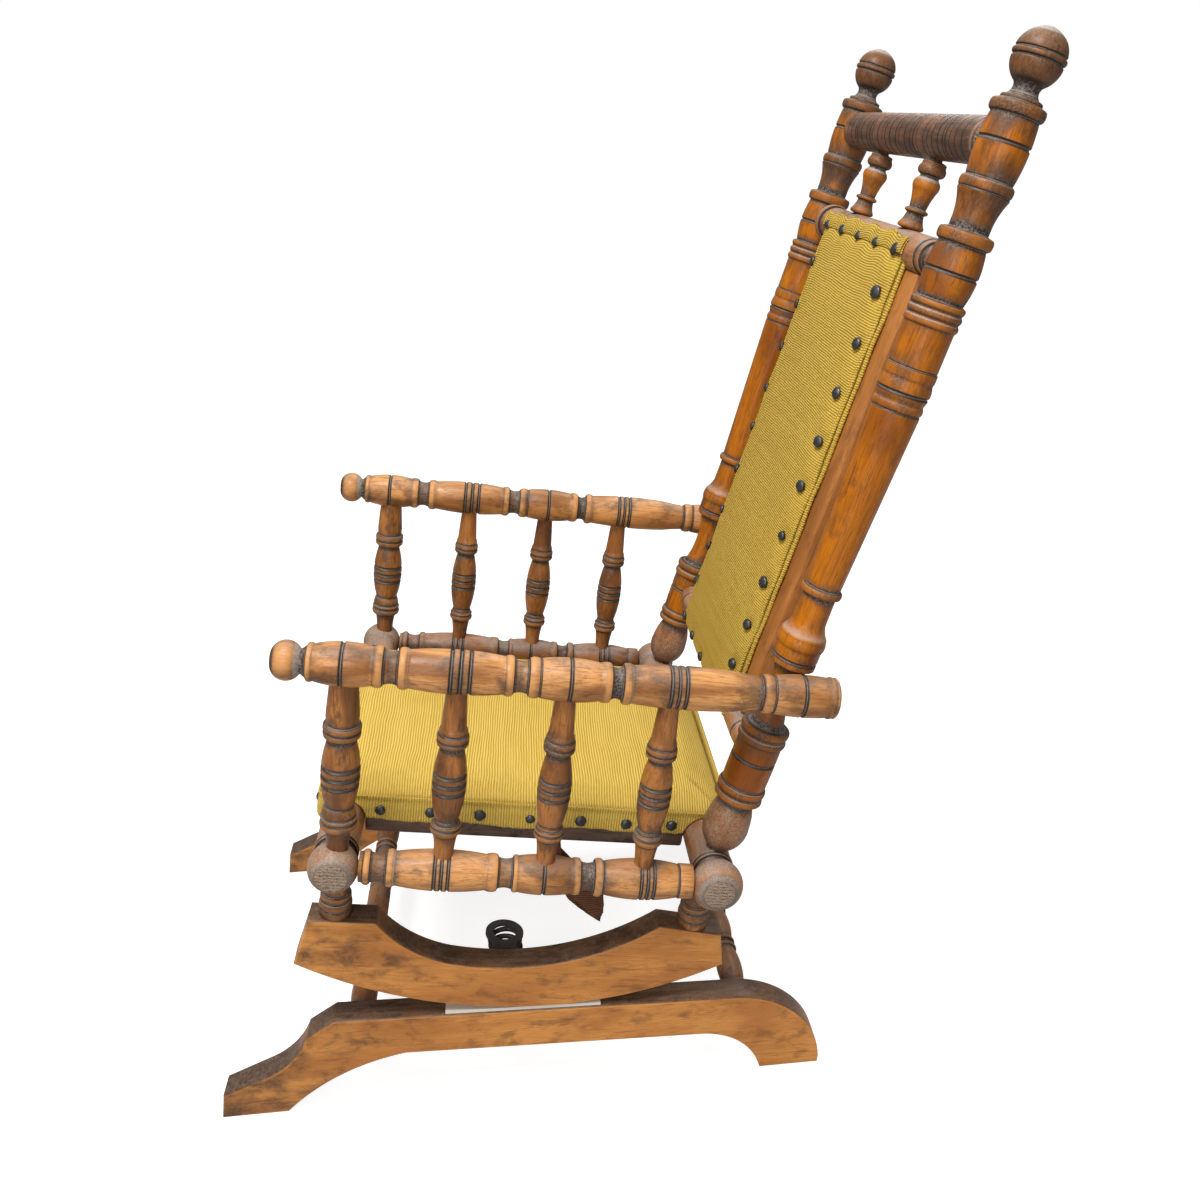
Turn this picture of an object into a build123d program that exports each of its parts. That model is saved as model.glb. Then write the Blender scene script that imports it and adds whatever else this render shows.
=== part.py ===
from build123d import *
import math
import os

# Turned-spindle platform rocker, millimetres.
# The chair is worked out in its own level frame (x to the sitter's left, y to the rear, z up, zero on the
# line where the rockers touch the platform) and is then leaned back to its resting attitude.

os.makedirs("parts", exist_ok=True)

# Fits
socket_gap = 0.15          # radial clearance of a turned end in its bored socket
socket_floor_gap = 0.6     # room left below the end of a tenon
seat_gap = 0.3             # clearance where two pieces bear on each other
cloth_gap = 0.3            # clearance between upholstery and the frame under it

# Attitude of the chair on its platform
rest_lean = 8.6            # degrees that the seat leans back at rest
platform_fall = 2.1        # degrees that the top of the platform rails falls to the rear

# Platform rails
board_outer_x = 231.0      # outer faces of the platform rails and of the rockers
board_thickness = 31.0
rail_top_at_contact = 109.7
rail_flat_front_y = -234.0
rail_flat_rear_y = 186.0
rail_toe_y = -365.0
rail_toe_height = 30.0
rail_front_foot_length = 70.0
rail_heel_y = 287.0
rail_rear_foot_length = 66.0
rail_depth = 49.0          # height of the rail between its feet

# Wear strips
strip_thickness = 3.7
strip_clearance = 0.7      # under the rockers at rest, and room for them to roll
strip_bed_gap = 0.05
strip_front_y = -118.0
strip_rear_y = 46.0
strip_inset = 2.0

# Platform stretchers
front_stretcher_y = -213.0
front_stretcher_z = 86.0
rear_stretcher_y = 200.0
rear_stretcher_z = 76.0
stretcher_radius = 13.5
stretcher_tenon_radius = 9.0
stretcher_tenon_length = 16.0

# Rockers
rocker_radius = 460.0
rocker_front_y = -274.0
rocker_rear_y = 170.0
rocker_front_top_y = -261.0
rocker_rear_top_y = 162.0
rocker_front_seat_y = -195.0   # where the flat under the front leg ends
rocker_front_seat_z = 98.5
rocker_rear_seat_y = 95.0      # where the flat under the rear leg begins
rocker_rear_seat_z = 108.0
rocker_rear_seat_drop = 7.5
rocker_waist_y = -52.0
rocker_waist_z = 48.5

# Cross rails with their knobs
cross_rail_z = 181.0
front_rail_y = -236.0
rear_rail_y = 140.0
front_knob_radius = 23.0
rear_knob_radius = 25.0
cross_rail_radius = 21.0
knob_end_x = 275.0
knob_start_x = 236.0
knob_face_radius = 15.0
knob_bulge = 0.6            # how far a knob swells past its own radius

# Short legs between rockers and cross rails
leg_radius = 16.0
leg_tenon_radius = 9.0
leg_tenon_length = 12.0
rear_leg_y = 132.0

# Arms, front posts, spindles and lower side rails
side_x = 250.0
arm_z = 396.5
arm_radius = 20.6
arm_front_y = -297.0
front_post_y = -233.0
spindle_y = (-133.0, -34.0, 63.0)
post_foot_radius = 11.0
post_foot_depth = 12.0
spindle_foot_radius = 9.5
spindle_head_radius = 9.0
spindle_socket_depth = 12.0
side_rail_radius = 20.4
side_rail_tenon_radius = 9.0
side_rail_tenon_length = 11.0

# Back posts
post_x = 216.0
post_recline = 10.3        # degrees that the back posts lean beyond the seat frame
post_radius = 22.4
post_foot_tenon = 13.0
arm_dowel_radius = 5.0
arm_dowel_length = 17.0
back_tenon_radius = 9.0
back_tenon_length = 11.0
bottom_rail_s = 107.0      # places along the back post, from the foot of its bulb
top_rail_s = 599.0
crest_rail_s = 701.0
bottom_rail_radius = 15.0
top_rail_radius = 17.5
crest_rail_radius = 20.3
crest_spindle_x = 80.0
crest_spindle_radius = 12.8
crest_spindle_tenon_radius = 6.0
crest_spindle_tenon_length = 8.0

# Frame of the upholstered back
stile_outer_x = 162.0
stile_width = 52.0
stile_thickness = 20.0
stile_front_d = 8.5        # front face of the stiles, forward of the axes of the posts
back_pad_half_width = 136.0
back_pad_front_d = 28.0
back_pad_bottom_s = 96.0
back_pad_top_s = 606.0
back_lining_thickness = 1.6

# Seat
seat_frame_outer_x = 168.0
seat_board_thickness = 21.0
seat_board_bottom_z = 164.0
seat_board_top_z = 200.0
seat_cover_thickness = 4.6
seat_cover_bottom_z = 182.0
seat_cover_over_rail = 8.0
seat_pad_top_z = 223.0
seat_pad_rounding = 14.0
webbing_width = 58.0
webbing_thickness = 1.8
loose_web_x = 155.0
loose_web_y = 8.0
loose_web_tip_y = 45.0
loose_web_tip_z = 58.0
loose_web_width = 74.0
loose_web_thickness = 4.0

# Tacks
tack_radius = 5.4
tack_height = 3.0
seat_tack_front_inset = 13.7   # from each end of the seat frame to the nearest tack
seat_tack_rear_inset = 19.7
seat_tack_side_inset = 18.0
tacks_per_seat_side = 7
tacks_per_seat_front = 8
tacks_per_back_side = 9
tacks_per_back_end = 5
seat_tack_rise = 11.0
back_tack_inset = 18.0

# Springs and their irons
spring_x = 173.0
spring_y = -60.0
spring_top_z = 46.0
spring_bottom_drop = 38.0  # below the contact line
spring_coil_radius = 16.0
spring_wire_radius = 2.8
spring_turns = 4.5
iron_thickness = 3.0
iron_ring_inner = 12.5
iron_ring_outer = 20.5
iron_leaf_width = 26.0
iron_leaf_height = 30.0
iron_screw_radius = 2.2
iron_screw_length = 14.0
iron_screw_head_radius = 4.2
iron_screw_head_height = 1.8

# Derived places
board_mid_x = board_outer_x - board_thickness / 2
board_inner_x = board_outer_x - board_thickness
contact_z = rail_top_at_contact + strip_thickness + strip_clearance
rail_slope = math.tan(math.radians(platform_fall))
seat_frame_front_y = front_rail_y + cross_rail_radius + seat_gap
seat_frame_rear_y = rear_rail_y - cross_rail_radius - seat_gap
seat_pad_front_y = front_rail_y - cross_rail_radius - seat_cover_over_rail
seat_pad_rear_y = rear_rail_y + cross_rail_radius + seat_cover_over_rail
arc_centre_y = -rocker_radius * math.sin(math.radians(rest_lean))
arc_centre_z = rocker_radius * math.cos(math.radians(rest_lean))


def at_rest(piece):
    """Leans a piece of the chair back and sets it on the platform."""
    return Pos(0, 0, contact_z) * Rot(-rest_lean, 0, 0) * piece


def on_back(piece):
    """Places a piece that is drawn upright about the foot of the back post's axis."""
    rise = front_rise(cross_rail_z)
    return Pos(0, rise, cross_rail_z) * Rot(-post_recline, 0, 0) * Pos(0, 0, post_foot_offset()) * piece


def front_rise(height):
    """Where the axis of the back post meets a height, measured from front to rear."""
    return rear_rail_y + (height - cross_rail_z) * math.tan(math.radians(post_recline))


def post_foot_offset():
    """Distance along the post from the axis of the rear cross rail to the foot of the bulb."""
    return rear_knob_radius - 1.5


def along_x(piece):
    """Lays a turning that was made upright along +X."""
    return Rot(0, 90, 0) * piece


def along_y(piece):
    """Lays a turning that was made upright along +Y."""
    return Rot(-90, 0, 0) * piece


def turned(start_radius, *steps):
    """Lathe-turned solid about +Z from z = 0.

    A step of (length, radius) is a cone or a cylinder, a step of (0, radius) a square shoulder, and a step of
    (length, middle radius, end radius) a round stretch through the middle radius.
    """
    height = 0.0
    radius = start_radius
    edges = [Line((0, 0), (radius, 0))]
    for step in steps:
        top = (step[-1], height + step[0])
        if len(step) == 2:
            edges.append(Line((radius, height), top))
        else:
            edges.append(ThreePointArc((radius, height), (step[1], height + step[0] / 2), top))
        radius, height = top
    edges.append(Line((radius, height), (0, height)))
    edges.append(Line((0, height), (0, 0)))
    face = make_face(Wire(edges).edges())
    return revolve(Plane.XZ * face, Axis.Z)


def bore(radius, depth, end_room=socket_floor_gap):
    """Socket for a turned end of that radius, drilled along +Z from z = 0 to its depth."""
    return Cylinder(radius + socket_gap, depth + end_room, align=(Align.CENTER, Align.CENTER, Align.MIN))


def extruded_board(outline, inner_x):
    """Sawn board from an outline in the Y-Z plane, reaching outwards from inner_x."""
    return Pos(inner_x, 0, 0) * extrude(Plane.YZ * outline, board_thickness)


def mirrored(piece):
    return mirror(piece, Plane.YZ)


def rail_top(y):
    """Height of the platform rail's upper edge."""
    return rail_top_at_contact - rail_slope * y


# ---------------------------------------------------------------- platform

def base_rail():
    front_top = (rail_flat_front_y, rail_top(rail_flat_front_y))
    rear_top = (rail_flat_rear_y, rail_top(rail_flat_rear_y))
    foot_end_y = rail_toe_y + rail_front_foot_length
    heel_start_y = rail_heel_y - rail_rear_foot_length
    arch_front = (rail_flat_front_y + 70, rail_top(rail_flat_front_y + 70) - rail_depth)
    arch_rear = (rail_flat_rear_y - 30, rail_top(rail_flat_rear_y - 30) - rail_depth)
    edges = [
        Line((rail_toe_y, 0), (rail_toe_y + 5, rail_toe_height)),
        Line((rail_toe_y + 5, rail_toe_height), (rail_toe_y + 54, rail_toe_height + 21)),
        ThreePointArc((rail_toe_y + 54, rail_toe_height + 21), (rail_toe_y + 82, rail_toe_height + 40),
                      (rail_toe_y + 101, rail_toe_height + 69)),
        Line((rail_toe_y + 101, rail_toe_height + 69), front_top),
        Line(front_top, rear_top),
        ThreePointArc(rear_top, (rail_heel_y - 28, 74), (rail_heel_y + 1, 8)),
        Line((rail_heel_y + 1, 8), (rail_heel_y, 0)),
        Line((rail_heel_y, 0), (heel_start_y, 0)),
        ThreePointArc((heel_start_y, 0), (heel_start_y - 17, 33), arch_rear),
        Line(arch_rear, arch_front),
        ThreePointArc(arch_front, (foot_end_y + 55, 41), (foot_end_y, 0)),
        Line((foot_end_y, 0), (rail_toe_y, 0)),
    ]
    rail = extruded_board(make_face(edges), board_inner_x)
    for y, z in ((front_stretcher_y, front_stretcher_z), (rear_stretcher_y, rear_stretcher_z)):
        rail -= Pos(board_inner_x, y, z) * along_x(bore(stretcher_tenon_radius, stretcher_tenon_length))
    return rail


def base_stretcher():
    """Turned stretcher between the rails, centred on x = 0 with a tenon at each end."""
    half = board_inner_x - seat_gap
    r = stretcher_radius
    side = turned(
        r, (44, r), (6, r - 3), (6, r), (44, r), (6, r - 3), (6, r), (half - 112, r), (0, stretcher_tenon_radius),
        (stretcher_tenon_length, stretcher_tenon_radius))
    right = along_x(side)
    return right + mirrored(right)


def wear_strip():
    """Felt strip on top of the rail, under the rocker."""
    low_front = rail_top(strip_front_y) + strip_bed_gap
    low_rear = rail_top(strip_rear_y) + strip_bed_gap
    outline = Polygon(
        (strip_front_y, low_front), (strip_rear_y, low_rear), (strip_rear_y, low_rear + strip_thickness),
        (strip_front_y, low_front + strip_thickness), align=None)
    strip = extrude(Plane.YZ * outline, board_thickness - 2 * strip_inset)
    return Pos(board_inner_x + strip_inset, 0, 0) * strip


def iron_ring():
    """Flat ring that grips an end turn of a coil spring."""
    ring = Cylinder(iron_ring_outer, iron_thickness) - Cylinder(iron_ring_inner, iron_thickness * 2)
    return ring


def spring_iron(leaf_down):
    """Ring on a tongue with a leaf that is screwed to a board's inner face, ring level at z = 0."""
    leaf_x = board_inner_x - seat_gap / 2 - iron_thickness / 2
    tongue_length = leaf_x - spring_x - iron_ring_inner
    tongue = Pos(spring_x + iron_ring_inner + tongue_length / 2, 0, 0) * Box(
        tongue_length, iron_leaf_width, iron_thickness)
    rise = -iron_leaf_height / 2 if leaf_down else iron_leaf_height / 2
    leaf = Pos(leaf_x, 0, rise) * Box(iron_thickness, iron_leaf_width, iron_leaf_height + iron_thickness)
    tongue -= Pos(spring_x, 0, 0) * Cylinder(iron_ring_inner, iron_thickness * 2)
    iron = Pos(spring_x, 0, 0) * iron_ring() + tongue + leaf
    for hole_z in iron_screw_heights(leaf_down):
        iron -= Pos(leaf_x, 0, hole_z) * along_x(Cylinder(iron_screw_radius + socket_gap, iron_thickness * 3))
    return iron


def iron_screw_heights(leaf_down):
    sign = -1 if leaf_down else 1
    return (sign * iron_leaf_height * 0.42, sign * iron_leaf_height * 0.8)


def iron_screws(leaf_down):
    """Round-headed screws of one spring iron, driven outwards into the board."""
    face_x = board_inner_x - seat_gap / 2 - iron_thickness
    screws = []
    for hole_z in iron_screw_heights(leaf_down):
        screw = extrude(RegularPolygon(iron_screw_head_radius, 8), iron_screw_head_height)
        screw += Cylinder(iron_screw_radius, iron_screw_head_height + iron_screw_length,
                          align=(Align.CENTER, Align.CENTER, Align.MIN))
        screws.append(Pos(face_x - iron_screw_head_height, 0, hole_z) * along_x(screw))
    return screws


def screw_holes(leaf_down):
    """Pilot holes in a board for the screws of one spring iron."""
    holes = []
    for hole_z in iron_screw_heights(leaf_down):
        holes.append(Pos(board_inner_x, 0, hole_z) * along_x(bore(iron_screw_radius, iron_screw_length)))
    return holes


def coil_spring(length):
    """Open coil spring about +Z from z = 0."""
    rise = length - 2 * spring_wire_radius
    path = Helix(pitch=rise / spring_turns, height=rise, radius=spring_coil_radius)
    start = path @ 0
    section = Plane(origin=start, z_dir=path % 0) * RegularPolygon(spring_wire_radius, 6)
    return Pos(0, 0, spring_wire_radius) * sweep(section, path=path, is_frenet=True)


# ---------------------------------------------------------------- rockers and legs

def rocker_outline():
    def on_arc(y):
        return (y, arc_centre_z - math.sqrt(rocker_radius ** 2 - (y - arc_centre_y) ** 2))
    front_low = on_arc(rocker_front_y)
    rear_low = on_arc(rocker_rear_y)
    front_top = (rocker_front_top_y, rocker_front_seat_z)
    front_seat = (rocker_front_seat_y, rocker_front_seat_z)
    waist = (rocker_front_seat_y + 77, rocker_waist_z + 2.5)
    rear_seat = (rocker_rear_seat_y, rocker_rear_seat_z)
    rear_top = (rocker_rear_top_y, rocker_rear_seat_z - rocker_rear_seat_drop)
    return make_face([
        Line(front_low, front_top),
        Line(front_top, front_seat),
        ThreePointArc(front_seat, (rocker_front_seat_y + 33, rocker_front_seat_z - 30), waist),
        ThreePointArc(waist, (rocker_waist_y + 40, rocker_waist_z + 6.5), rear_seat),
        Line(rear_seat, rear_top),
        Line(rear_top, rear_low),
        ThreePointArc(rear_low, on_arc(arc_centre_y), front_low),
    ])


def rocker_board():
    board = extruded_board(rocker_outline(), board_inner_x)
    board -= Pos(board_mid_x, front_rail_y, rocker_front_seat_z - leg_tenon_length) * bore(
        leg_tenon_radius, 2 * leg_tenon_length)
    board -= rear_leg_place(-leg_tenon_length) * bore(leg_tenon_radius, 2 * leg_tenon_length)
    for hole in screw_holes(True):
        board -= Pos(0, spring_y, spring_top_z) * hole
    return board


def rear_seat_angle():
    return math.degrees(math.atan2(rocker_rear_seat_drop, rocker_rear_top_y - rocker_rear_seat_y))


def rear_leg_place(rise):
    """Point on the rocker's rear flat, measured square to the cross rail above it."""
    surface = rocker_rear_seat_z - (rear_leg_y - rocker_rear_seat_y) * math.tan(math.radians(rear_seat_angle()))
    return Pos(board_mid_x, rear_leg_y, surface + rise)


def leg(length, cut_angle):
    """Short turned leg from z = 0, its foot cut to the slope of the rocker under it."""
    r = leg_radius
    shaft = turned(r, (0.55 * length, r), (5, r - 4.5), (0.45 * length - 10, r - 4.5), (5, r - 1.5))
    foot_cut = Rot(-cut_angle, 0, 0) * Pos(0, 0, seat_gap - 20) * Box(80, 80, 40)
    shaft = shaft - foot_cut
    tenon_low = Pos(0, 0, -leg_tenon_length / 2 + 2) * Cylinder(leg_tenon_radius, leg_tenon_length)
    tenon_high = Pos(0, 0, length + leg_tenon_length / 2 - 1) * Cylinder(leg_tenon_radius, leg_tenon_length + 2)
    return shaft + tenon_low + tenon_high


def front_leg():
    length = cross_rail_z - cross_rail_radius - seat_gap - rocker_front_seat_z
    return Pos(board_mid_x, front_rail_y, rocker_front_seat_z) * leg(length, 0)


def rear_leg():
    base = rear_leg_place(0)
    length = cross_rail_z - cross_rail_radius - seat_gap - base.position.Z
    return base * leg(length, rear_seat_angle())


# ---------------------------------------------------------------- seat and side frame

def cross_rail(knob_radius):
    """Fat turned rail on x with a knob at each end."""
    r = cross_rail_radius
    swell = knob_radius + knob_bulge
    knob_length = knob_end_x - knob_start_x
    side = turned(
        r, (knob_start_x - 4, r), (4, r - 2.5), (6, swell), (knob_length - 22, swell), (9, knob_radius - 3),
        (7, knob_face_radius))
    right = along_x(side)
    return right + mirrored(right)


def front_cross_rail():
    rail = Pos(0, front_rail_y, cross_rail_z) * cross_rail(front_knob_radius)
    for side in (-1, 1):
        rail -= Pos(side * board_mid_x, front_rail_y, cross_rail_z - cross_rail_radius - seat_gap) * bore(
            leg_tenon_radius, leg_tenon_length)
        rail -= Pos(side * side_x, front_post_y, front_post_foot_z() - socket_floor_gap) * bore(
            post_foot_radius, 2 * post_foot_depth)
        rail -= Pos(side * side_x, front_rail_y + front_knob_radius - side_rail_tenon_length - socket_floor_gap,
                    cross_rail_z) * along_y(bore(side_rail_tenon_radius, 2 * side_rail_tenon_length))
    return rail


def rear_cross_rail():
    rail = Pos(0, rear_rail_y, cross_rail_z) * cross_rail(rear_knob_radius)
    for side in (-1, 1):
        rail -= Pos(side * board_mid_x, rear_leg_y, cross_rail_z - cross_rail_radius - seat_gap) * bore(
            leg_tenon_radius, leg_tenon_length)
        rail -= Pos(side * side_x, rear_rail_y - rear_knob_radius - side_rail_tenon_length, cross_rail_z) * along_y(
            bore(side_rail_tenon_radius, 2 * side_rail_tenon_length))
        rail -= Pos(side * post_x, 0, 0) * on_back(
            Pos(0, 0, -post_foot_tenon - socket_floor_gap) * bore(post_foot_radius, 2 * post_foot_tenon))
        rail -= Pos(side * post_x, 0, 0) * on_back(post_foot_seat())
    return rail


def post_foot_seat():
    """Shallow dish in the rear cross rail that the bulb of the back post stands in."""
    return Pos(0, 0, -seat_gap) * Cylinder(
        post_foot_shoulder() + seat_gap, 12, align=(Align.CENTER, Align.CENTER, Align.MIN))


def post_foot_shoulder():
    return 13.0


def front_post_foot_z():
    return cross_rail_z + front_knob_radius - post_foot_depth


def side_rail():
    """Turned lower side rail from the front knob to the rear knob."""
    start_y = front_rail_y + front_knob_radius + knob_bulge + seat_gap
    end_y = rear_rail_y - rear_knob_radius - knob_bulge - seat_gap
    length = end_y - start_y
    r = side_rail_radius
    rail = turned(
        side_rail_tenon_radius, (side_rail_tenon_length, side_rail_tenon_radius), (0, r - 5.5), (3, r - 2.8),
        (7, r - 2.8), (6, r - 6.6), (7, r - 2.2), (8, r - 0.2), (84, r - 0.2), (5, r - 1.8), (8, r - 1.8),
        (7, r - 6.4), (7, r - 1.8), (10, r - 0.6), (50, r - 0.6), (5, r - 2), (11, r - 6.8), (11, r - 1.8),
        (7, r - 0.2), (78, r - 0.2), (length - 314, r - 3.4), (0, side_rail_tenon_radius),
        (side_rail_tenon_length, side_rail_tenon_radius))
    rail = Pos(side_x, start_y - side_rail_tenon_length, cross_rail_z) * along_y(rail)
    for y in spindle_y:
        rail -= Pos(side_x, y, spindle_foot_z() - socket_floor_gap) * bore(spindle_foot_radius, 3 * spindle_socket_depth)
    return rail


def spindle_foot_z():
    return cross_rail_z + side_rail_radius - spindle_socket_depth


def arm_underside():
    return arm_z - arm_radius


def arm():
    """Turned arm with its ball in front and its plain end behind the back post."""
    r = arm_radius
    turning = turned(
        r - 11, (8, r - 2.2), (10, r - 2.2), (8, r - 9.6), (5, r - 3), (9, r - 0.4), (56, r - 0.4), (7, r - 6.2),
        (9, r - 1.6), (9, r - 0.2), (91, r - 0.2), (7, r - 6.3), (8, r - 1.6), (8, r - 0.4), (67, r - 0.4),
        (7, r - 6.6), (7, r - 1.4), (7, r), (95, r), (26, r - 5), (3, r - 1.6), (5, r - 0.4), (62, r - 0.4),
        (4, r - 4))
    piece = Pos(side_x, arm_front_y, arm_z) * along_y(turning)
    piece -= Pos(side_x, front_post_y, arm_underside() - post_foot_depth) * bore(
        front_post_head_radius(), 2 * post_foot_depth)
    for y in spindle_y:
        piece -= Pos(side_x, y, arm_underside() - spindle_socket_depth) * bore(
            spindle_head_radius, 2 * spindle_socket_depth)
    piece -= arm_dowel_hole()
    return piece


def front_post_head_radius():
    return 12.5


def arm_dowel_place():
    return Pos((side_x + post_x) / 2 - 1.5, front_rise(arm_z), arm_z)


def arm_dowel_hole():
    return arm_dowel_place() * along_x(
        Cylinder(arm_dowel_radius + socket_gap, arm_dowel_length + 2 * socket_floor_gap))


def arm_dowel():
    return arm_dowel_place() * along_x(Cylinder(arm_dowel_radius, arm_dowel_length))


def front_post():
    foot_z = front_post_foot_z()
    head_z = arm_underside() + post_foot_depth
    lower_ring_z = 226.0
    upper_ring_z = 321.0
    ring_length = 24.0
    barrel_length = upper_ring_z - lower_ring_z - ring_length
    tenon = post_foot_depth + 0.2
    post = turned(
        post_foot_radius, (tenon, post_foot_radius), (lower_ring_z - foot_z - tenon, 13), (2, 17.6),
        (ring_length - 4, 17.6), (2, 13.4), (10, 15.7), (barrel_length - 20, 15.7), (10, 13.4), (2, 17.6),
        (ring_length - 4, 17.6), (2, 15.4), (head_z - upper_ring_z - ring_length - tenon, front_post_head_radius()),
        (tenon, front_post_head_radius()))
    return Pos(side_x, front_post_y, foot_z) * post


def spindle():
    """Arm spindle from its foot at z = 0."""
    foot_z = spindle_foot_z()
    head_z = arm_underside() + spindle_socket_depth
    lower_ring_z = 226.0
    upper_ring_z = 323.0
    lower_ring = 15.0
    upper_ring = 21.0
    tenon = spindle_socket_depth + 0.2
    barrel_length = upper_ring_z - lower_ring_z - lower_ring
    return turned(
        spindle_foot_radius, (tenon, spindle_foot_radius), (lower_ring_z - foot_z - tenon, 12), (2, 14.7),
        (lower_ring - 4, 14.7), (2, 11), (12, 14), (barrel_length - 24, 14), (12, 11), (2, 15.2),
        (upper_ring - 4, 15.2), (2, 12), (head_z - upper_ring_z - upper_ring - tenon, spindle_head_radius),
        (tenon, spindle_head_radius))


# ---------------------------------------------------------------- back

def back_post():
    """Turned back post with its bulb, coves, rings and finial, from the foot of the bulb at z = 0."""
    r = post_radius
    ring = r + 2
    post = turned(
        post_foot_radius, (post_foot_tenon, post_foot_radius), (0, post_foot_shoulder()), (16, r + 0.6),
        (14, r + 0.6), (13, r - 1.6), (14, r - 6.6), (3, ring), (18, ring), (2, r), (46, r), (2, ring), (18, ring),
        (3, r - 5), (28, r - 9.6), (30, r - 9.6), (8, r), (19, r), (2, r + 1.6), (26, r + 1.6), (6, r - 6.2),
        (17, r - 6.2), (4, r + 0.2), (7, r + 0.2), (3, r - 5.4), (172, r + 0.2), (3, r + 1.4), (30, r + 1.4),
        (2, r - 0.2), (36, r - 0.2), (2, ring - 0.4), (18, ring - 0.4), (2, r), (51, r), (3, r + 1.4), (6, r + 1.4),
        (11, r - 4.8), (20, r + 0.2), (12, r + 1), (3, r - 0.2), (48, r - 0.2), (2, ring), (9, ring),
        (9, r - 11), (6, r - 11), (8, r - 1.8), (6, r + 0.6), (10, r + 0.6), (13, r - 4), (8, r - 15))
    post = Pos(0, 0, -post_foot_tenon) * post
    for s in (bottom_rail_s, top_rail_s, crest_rail_s):
        post -= Pos(-post_radius - 2, 0, s) * along_x(
            Cylinder(back_tenon_radius + socket_gap, 2 * back_tenon_length))
    post = Pos(post_x, 0, 0) * on_back(post)
    return post - arm_dowel_hole()


def rail_between_posts(s, half_profile):
    right = along_x(half_profile)
    return on_back(Pos(0, 0, s) * (right + mirrored(right)))


def rail_reach():
    """Half length of a rail between the back posts."""
    return post_x - post_radius - 1.7


def bottom_rail():
    r = bottom_rail_radius
    return rail_between_posts(bottom_rail_s, turned(
        r, (rail_reach(), r), (0, back_tenon_radius), (back_tenon_length - 3, back_tenon_radius)))


def top_rail_profile():
    r = top_rail_radius
    return turned(
        r, (rail_reach() - 16, r), (2, r - 2.2), (14, r - 2.2), (0, back_tenon_radius),
        (back_tenon_length - 3, back_tenon_radius))


def top_rail():
    rail = rail_between_posts(top_rail_s, top_rail_profile())
    return rail - crest_spindle_sockets()


def crest_rail():
    """Roller at the top of the back."""
    r = crest_rail_radius
    rail = rail_between_posts(crest_rail_s, turned(
        r, (rail_reach() - 3, r), (3, r - 3), (0, back_tenon_radius), (back_tenon_length - 3, back_tenon_radius)))
    return rail - crest_spindle_sockets()


def crest_spindle_start():
    return top_rail_s + top_rail_radius - 0.8


def crest_spindle_end():
    return crest_rail_s - crest_rail_radius + 0.8


def crest_spindle_sockets():
    start = crest_spindle_start() - crest_spindle_tenon_length - socket_floor_gap
    length = crest_spindle_end() - crest_spindle_start() + 2 * crest_spindle_tenon_length + 2 * socket_floor_gap
    sockets = []
    for side in (-1, 1):
        drilled = Cylinder(crest_spindle_tenon_radius + socket_gap, length,
                           align=(Align.CENTER, Align.CENTER, Align.MIN))
        sockets.append(on_back(Pos(side * crest_spindle_x, 0, start) * drilled))
    return sockets


def crest_spindle():
    r = crest_spindle_radius
    tenon = crest_spindle_tenon_radius
    body = crest_spindle_end() - crest_spindle_start() - 2.4
    turning = turned(
        tenon, (crest_spindle_tenon_length + 1.2, tenon), (3, r), (6, r), (8, r - 5.4), (4, r - 5),
        (9, r - 0.6), (body - 48, r - 0.6), (8, r - 5), (4, r), (5, r), (1, tenon),
        (crest_spindle_tenon_length + 1.2, tenon))
    return on_back(Pos(crest_spindle_x, 0, crest_spindle_start() - crest_spindle_tenon_length) * turning)


def rail_bed(s, radius):
    """Round space that a rail of the back takes up in what is fitted to it."""
    return Pos(0, 0, s) * along_x(Cylinder(radius + seat_gap, 2 * stile_outer_x + 40))


def back_stile():
    """Plain board between the rails of the back, hollowed at its ends to bear on them."""
    length = top_rail_s - bottom_rail_s
    stile = Pos(stile_outer_x - stile_width / 2, stile_thickness / 2 - stile_front_d, bottom_rail_s) * Box(
        stile_width, stile_thickness, length, align=(Align.CENTER, Align.CENTER, Align.MIN))
    stile -= rail_bed(bottom_rail_s, bottom_rail_radius)
    stile -= rail_bed(top_rail_s, top_rail_radius)
    return on_back(stile)


def back_pad():
    """Stuffed cover of the back, drawn over the stiles and both rails."""
    thickness = back_pad_front_d - stile_front_d - cloth_gap
    length = back_pad_top_s - back_pad_bottom_s
    pad = Pos(0, -stile_front_d - cloth_gap - thickness / 2, back_pad_bottom_s) * Box(
        2 * back_pad_half_width, thickness, length, align=(Align.CENTER, Align.CENTER, Align.MIN))
    pad = fillet(pad.faces().sort_by(Axis.Y)[0].edges(), 12)
    pad -= rail_bed(bottom_rail_s, bottom_rail_radius)
    pad -= rail_bed(top_rail_s, top_rail_radius)
    return on_back(pad)


def back_lining():
    """Plain cloth tacked over the rear of the stiles."""
    rear_d = stile_thickness - stile_front_d + cloth_gap
    low = bottom_rail_s + bottom_rail_radius + 2
    high = top_rail_s - top_rail_radius - 2
    return on_back(Pos(0, rear_d + back_lining_thickness / 2, low) * Box(
        2 * (stile_outer_x - 14), back_lining_thickness, high - low,
        align=(Align.CENTER, Align.CENTER, Align.MIN)))


# ---------------------------------------------------------------- seat

def seat_side_board():
    """Side board of the seat frame, which fits between the two cross rails."""
    length = seat_frame_rear_y - seat_frame_front_y
    height = seat_board_top_z - seat_board_bottom_z
    return Pos(seat_frame_outer_x - seat_board_thickness / 2, seat_frame_front_y, seat_board_bottom_z) * Box(
        seat_board_thickness, length, height, align=(Align.CENTER, Align.MIN, Align.MIN))


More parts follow.
